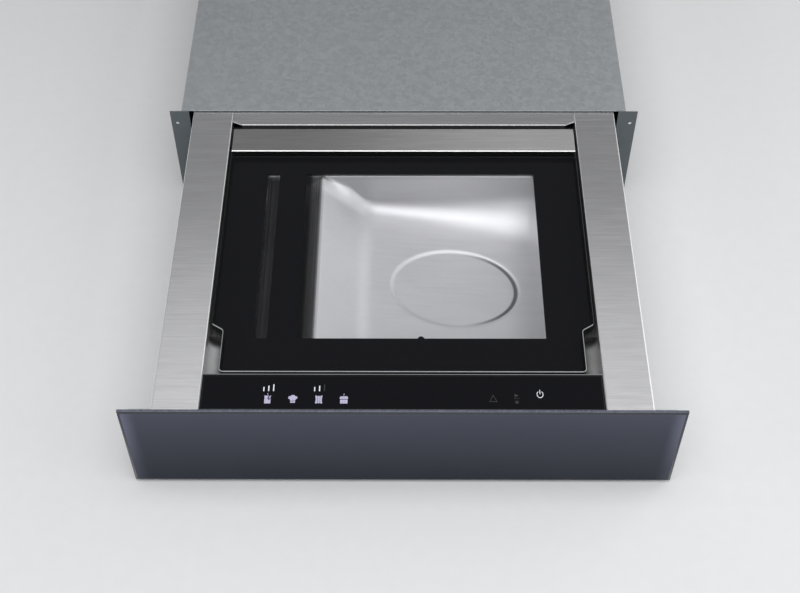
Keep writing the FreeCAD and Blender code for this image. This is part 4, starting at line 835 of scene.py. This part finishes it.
def oval_drop(x, y):
    """Stamped oval: how far the floor sinks at a point."""
    depth, width = 1.7, 5.8
    dx, dy = (x - OVAL_CENTRE[0]) / OVAL_HALF[0], (y - OVAL_CENTRE[1]) / OVAL_HALF[1]
    ratio = math.hypot(dx, dy)
    if ratio < 0.3:
        return depth
    slope = math.hypot(dx / OVAL_HALF[0], dy / OVAL_HALF[1]) / ratio
    away = (ratio - 1) / slope + width / 2
    t = min(1.0, max(0.0, 1 - away / width))
    return depth * t * t * (3 - 2 * t)


def stations(*runs):
    """Increasing values: (start, stop, step) runs joined end to end."""
    values = [runs[0][0]]
    for start, stop, step in runs:
        count = max(1, round((stop - start) / step))
        values += [start + (stop - start) * k / count for k in range(1, count + 1)]
    return values


def make_basin():
    """Pressed basin: rim, lip, walls with round corners, and a floor grid with the stamped oval."""
    rim, lip, thickness = 123.0, 3.0, 1.2
    left, right, front, back = -173.0, 170.0, -366.0, -98.0
    r_left, r_right, r_front, r_rear = 8.0, 6.0, 12.0, 17.0
    split = -164.0    # grid rows behind this one are drawn to the rear bend
    arc, bend = 10, 16

    def rear_radius(x):
        """The bend between floor and rear wall opens out to the right."""
        return (16.0 + 38.0 * min(1.0, max(0.0, (x + 70.0) / 225.0)) ** 1.4
                + 13.0 * min(1.0, max(0.0, (-48.0 - x) / 26.0)))

    def drawn(x, y):
        """Moves the rearmost grid rows so that they end where the rear bend starts."""
        if y <= split:
            return y
        return split + (y - split) / (back - r_rear - split) * (back - rear_radius(x) - split)

    def fillet(base, radius):
        """Height of the round between wall and floor, kept under the lip."""
        return max(0.0, min(radius, 0.95 * (rim - lip - base)))

    xs = stations((left + r_left, -124, 5), (-124, -103, 1.5), (-103, -92, 0.7), (-92, -50, 2), (-50, -16, 1.8),
                  (-16, right - r_right, 1.7))
    ys = stations((front + r_front, -286, 2.4), (-286, split, 1.7), (split, back - r_rear, 2.4))
    corners = (  # centre x, centre y, radius x, radius y, start angle
        (right - r_right, front + r_front, r_right, r_front, -math.pi / 2),
        (right - r_right, back - rear_radius(right), r_right, rear_radius(right), 0.0),
        (left + r_left, back - rear_radius(left), r_left, rear_radius(left), math.pi / 2),
        (left + r_left, front + r_front, r_left, r_front, math.pi),
    )

    def ring(spread, shrink):
        """Plan points and fillet radii: spread moves outwards, shrink (0 to 1) moves in over the fillets."""
        points = []
        runs = (
            [(x, front - spread + shrink * r_front, r_front) for x in xs],
            [(right + spread - shrink * r_right, drawn(right, y), r_right) for y in ys],
            [(x, back + spread - shrink * rear_radius(x), rear_radius(x)) for x in reversed(xs)],
            [(left - spread + shrink * r_left, drawn(left, y), r_left) for y in reversed(ys)],
        )
        for run, following, (cx, cy, rx, ry, start) in zip(runs, runs[1:] + runs[:1], corners):
            points += run
            for k in range(1, arc):
                angle, share = start + math.pi / 2 * k / arc, k / arc
                points.append((cx + (rx * (1 - shrink) + spread) * math.cos(angle),
                               cy + (ry * (1 - shrink) + spread) * math.sin(angle),
                               run[-1][2] * (1 - share) + following[0][2] * share))
        return points

    low, high = node_box("chamber_basin")
    edge_x, edge_y, round_edge = (low[0], high[0]), (low[1], high[1]), 6.0
    outer = []    # the rings run from the rim's outer edge over lip, wall and bend to the floor
    for index in range(4):
        rows = [drawn(right if index == 1 else left, y) for y in ys]
        run = (xs, rows, xs[::-1], rows[::-1])[index]
        fixed = (edge_y[0], edge_x[1], edge_y[1], edge_x[0])[index]
        outer += [(v, fixed, rim) if index in (0, 2) else (fixed, v, rim) for v in run]
        cx = edge_x[1] - round_edge if index in (0, 1) else edge_x[0] + round_edge
        cy = edge_y[0] + round_edge if index in (0, 3) else edge_y[1] - round_edge
        start = corners[index][4]
        outer += [(cx + round_edge * math.cos(start + math.pi / 2 * k / arc),
                   cy + round_edge * math.sin(start + math.pi / 2 * k / arc), rim) for k in range(1, arc)]
    loops = [outer]
    for a in (math.pi / 10 * k for k in range(6)):    # lip
        z = rim - lip * (1 - math.cos(a))
        loops.append([(x, y, max(z, floor_at(x))) for x, y, _ in ring(lip * (1 - math.sin(a)), 0.0)])
    for k in range(1, 5):    # wall
        loop = []
        for x, y, radius in ring(0.0, 0.0):
            base = floor_at(x)
            z = rim - lip + (base + fillet(base, radius) - rim + lip) * k / 4
            loop.append((x, y, max(z, base)))
        loops.append(loop)
    for a in (math.pi / 2 * k / bend for k in range(1, bend + 1)):    # bend
        loop = []
        for x, y, radius in ring(0.0, 1 - math.cos(a)):
            base = floor_at(x)
            loop.append((x, y, base + fillet(base, radius) * (1 - math.sin(a)) - oval_drop(x, y)))
        loops.append(loop)

    verts, faces, _ = tube(loops)
    start, wide = len(verts), len(xs)
    verts += [(x, drawn(x, y), floor_at(x) - oval_drop(x, drawn(x, y))) for y in ys for x in xs]
    rods = [(-154.5, -309.5), (-154.5, -154.5)]    # the lifting rods pass through the trough here
    for j in range(len(ys) - 1):
        for i in range(wide - 1):
            mid_x, mid_y = (xs[i] + xs[i + 1]) / 2, (ys[j] + ys[j + 1]) / 2
            if all(math.hypot(mid_x - x, mid_y - y) >= 8.6 for x, y in rods):
                a = start + j * wide + i
                faces.append((a, a + 1, a + wide + 1, a + wide))
    basin = make_piece("basin", (verts, faces, [0] * len(faces)), ["basin_steel"], "drawer",
                       ["chamber_basin"], angle=70, orient=False, weighted=False)
    thick = basin.modifiers.new("thickness", "SOLIDIFY")
    thick.thickness = thickness * MM
    thick.offset = -1

    boot = [(11.6, 90.05), (11.4, 91.4), (10.4, 92.2), (9.4, 91.6), (8.6, 92.8), (7.6, 92.2), (6.6, 93.6),
            (6.3, 93.2), (6.3, 89.6), (11.6, 89.6)]
    part = join_parts([tube([[(x + r * c, y + r * s, z) for c, s in circle(36)] for r, z in boot], closed=True)
                       for x, y in rods])
    make_piece("rod_seals", part, ["black_rubber"], "drawer")


def make_marks():
    """Lit bars, pictograms and the power ring on the control glass."""
    low, high = TOP + 0.005, TOP + 0.035
    lit, soft, dim = 0, 1, 2
    parts = []

    def add(points, tag):
        parts.append(capped([[(x, y, z) for x, y in points] for z in (low, high)], (tag, tag, tag)))

    def block(x, depth, width, length, tag):
        """Bar at a place on the deck, depth behind its front edge."""
        y = DECK_FRONT + depth
        add(loop_of(rectangle(x - width / 2, x + width / 2, y - length / 2, y + length / 2, 0.2), 0, 3), tag)

    def shape(x, depth, outline, tag=soft):
        """Outline round a place; the marks are printed 1.3 times as long as wide."""
        add([(x + u, DECK_FRONT + depth + 1.3 * v) for u, v in outline], tag)

    for x0, lit_bars in ((-146.1, 3), (-92.5, 2)):
        for k in range(3):
            length = 5.4 + 1.6 * k
            block(x0 + 5.15 * k, 24.2 + length / 2, 1.2, length, lit if k < lit_bars else dim)

    row = 13.5
    pouch_x, hat_x, book_x, jar_x, play_x, warning_x = -141.5, -115.0, -87.7, -61.4, 119.7, 95.1
    shape(pouch_x, row, [(-3.3, -3.8), (3.3, -3.8), (3.3, 1.2), (1.6, -0.7), (-0.4, 1.3), (1.5, 3.8),
                         (-3.9, 3.8), (-3.2, 2.9)])
    shape(pouch_x, row, [(1.0, 1.5), (1.7, 0.7), (3.3, 2.3), (3.2, 2.9), (3.9, 3.8), (2.6, 3.8)])
    block(pouch_x, 20.6, 0.7, 2.0, soft)

    half_hat = [(2.6, -1.2), (3.0, 0.2), (4.6, 0.9), (4.9, 2.2), (4.0, 3.2), (2.6, 3.2), (1.6, 4.2), (0.0, 4.5)]
    shape(hat_x, row, half_hat + [(-u, v) for u, v in reversed(half_hat[:-1])])
    shape(hat_x, row, [(-2.5, -3.2), (2.5, -3.2), (2.6, -1.7), (-2.6, -1.7)])

    side_panel = [(1.45, -3.5), (3.7, -4.0), (3.2, 0.0), (3.7, 4.0), (1.45, 3.5)]
    shape(book_x, row, side_panel)
    shape(book_x, row, [(-u, v) for u, v in reversed(side_panel)])
    shape(book_x, row, [(-1.05, -3.5), (1.05, -3.5), (1.05, 3.5), (-1.05, 3.5)])

    shape(jar_x, row, [(-3.9, -3.8), (3.9, -3.8), (3.9, 0.0), (-3.9, 0.0)])
    shape(jar_x, row, [(-4.3, 0.6), (4.3, 0.6), (4.3, 2.2), (3.4, 3.2), (-3.4, 3.2), (-4.3, 2.2)])
    block(jar_x, 20.0, 0.7, 2.2, soft)

    power_x, power_depth, gap = 144.4, 20.5, math.radians(34)
    turns = [gap + (2 * math.pi - 2 * gap) * k / 24 for k in range(25)]
    arc = [(3.5 * math.sin(turn), 3.5 * math.cos(turn)) for turn in turns]
    arc += [(2.8 * math.sin(turn), 2.8 * math.cos(turn)) for turn in reversed(turns)]
    shape(power_x, power_depth, arc, lit)
    block(power_x, power_depth + 3.1, 0.75, 5.6, lit)

    shape(play_x, 18.9, [(-2.2, -1.8), (2.4, 0.0), (-2.2, 1.8)], dim)
    block(play_x, 15.2, 6.0, 0.5, dim)
    block(play_x, 10.6, 3.4, 3.4, dim)

    rim = [(-4.4, -3.2), (4.4, -3.2), (0.0, 4.0)]
    core = [(-3.2, -2.5), (3.2, -2.5), (0.0, 2.7)]
    for k, n in ((0, 1), (1, 2), (2, 0)):
        shape(warning_x, 15.0, [rim[k], rim[n], core[n], core[k]], dim)
    make_piece("control_marks", join_parts(parts), ["mark_lit", "mark_soft", "mark_dim"], "drawer",
               weighted=False)


def screw_head(x, y, z, axis, radius=3.4, height=1.3):
    """Pan head with a cross recess, standing along the axis vector."""
    reach = Vector(axis).normalized()
    side = reach.orthogonal().normalized()
    over = reach.cross(side)
    count = 24
    arms = [0.40 if k % 6 in (0, 1, 5) else 0.16 for k in range(count)]
    dome = ((1.0, 0.0), (1.0, 0.35 * height), (0.93, 0.72 * height), (0.72, 0.95 * height), (0.45, height),
            (0.42, height - 0.05))
    levels = [([share] * count, rise) for share, rise in dome] + [(arms, height - 0.05), (arms, height - 0.75)]
    return capped([[tuple(Vector((x, y, z)) + (side * c + over * s) * radius * share + reach * rise)
                    for (c, s), share in zip(circle(count), shares)] for shares, rise in levels])


def make_housing_screws():
    """Sheet-metal screws along the rear edges and sides of the housing."""
    rear, half_width = 530.0, 278.0
    parts = [screw_head(x, rear, z, (0, 1, 0))
             for x in (-262.0, -130.0, 0.0, 130.0, 262.0) for z in (134.0, 8.0)]
    parts += [screw_head(side * half_width, y, z, (side, 0, 0), 3.2, 1.2)
              for side in (-1, 1) for y in (40.0, 265.0, 490.0) for z in (8.0, 133.0)]
    make_piece("housing_screws", join_parts(parts), ["screw_steel"], "housing")


# ---- carried-over nodes

def dress_nodes():
    """Gives each remaining node its material and soft edges where they show."""
    slots = {item["node"]: item["material_slot"] for item in frame["record"]["subparts"]}
    widths = (    # of the soft edges, in millimetres
        (0.15, "seal_cover"),
        (0.3, "control_bezel deck_ledges housing_side_left housing_side_right housing_rear drawer_tray"),
        (0.4, "front_carrier housing_top housing_base lift_rods latch_plunger"),
        (0.5, "cable_gland"),
        (0.6, "valve_block push_latch transformer"),
        (0.7, "seal_bar"),
        (0.8, "vacuum_pump pump_feet"),
    )
    soft = {node: width for width, names in widths for node in names.split()}
    for node, obj in NODES.items():
        obj.data.materials.clear()
        obj.data.materials.append(MATS["lid_edge" if slots[node] == "lid_glass" else slots[node]])
        if node in soft:
            bevel = obj.modifiers.new("soft_edges", "BEVEL")
            bevel.width = soft[node] * MM
            bevel.segments = 2
            bevel.limit_method = "ANGLE"
            bevel.angle_limit = math.radians(40)


# ---- stage and light

def add_stage():
    """Pale floor under the part."""
    sh = Shader("floor_paper")
    fibre = sh.noise(60.0, detail=4.0)
    tone = sh.mottle(fibre, (0.735, 0.735, 0.74), (0.75, 0.75, 0.755))
    mat = sh.finish(tone, 0.85, sh.bump(fibre, 0.0001))
    mesh = bpy.data.meshes.new("floor")
    mesh.from_pydata([(-12, -12, 0), (12, -12, 0), (12, 12, 0), (-12, 12, 0)], [], [(0, 1, 2, 3)])
    mesh.materials.append(mat)
    floor = bpy.data.objects.new("floor", mesh)
    link(floor)


def add_area(name, place, target, size, power):
    """Unseen rectangular lamp, aimed from a place at a target."""
    data = bpy.data.lights.new(name, "AREA")
    data.shape = "RECTANGLE"
    data.size, data.size_y = size
    data.energy = power
    lamp = bpy.data.objects.new(name, data)
    lamp.location = place
    lamp.rotation_euler = (Vector(target) - Vector(place)).to_track_quat("-Z", "Y").to_euler()
    lamp.visible_camera = False
    link(lamp)


def add_light():
    """Pale surroundings, a wide lamp overhead and one at each side."""
    world = bpy.data.worlds.new("studio")
    bpy.context.scene.world = world
    world.use_nodes = True
    world.node_tree.nodes["Background"].inputs[0].default_value = (0.18, 0.184, 0.192, 1.0)
    add_area("overhead", (0.0, -1.15, 2.35), (0.0, -0.90, 0.0), (2.8, 2.6), 59.0)
    add_area("left", (-1.9, -0.5, 1.0), (0.0, -0.2, 0.1), (1.4, 0.9), 6.0)
    add_area("right", (1.9, 0.05, 1.05), (0.0, -0.2, 0.1), (3.2, 2.0), 22.0)


add_camera()
make_front_glass()
make_control_glass()
make_lid()
make_lid_seals()
make_hinge_bar()
make_rails()
make_rear_strip()
make_basin()
make_marks()
make_housing_screws()
dress_nodes()
add_stage()
add_light()

settings = bpy.context.scene.view_settings
settings.view_transform = "Standard"
bpy.context.view_layer.update()
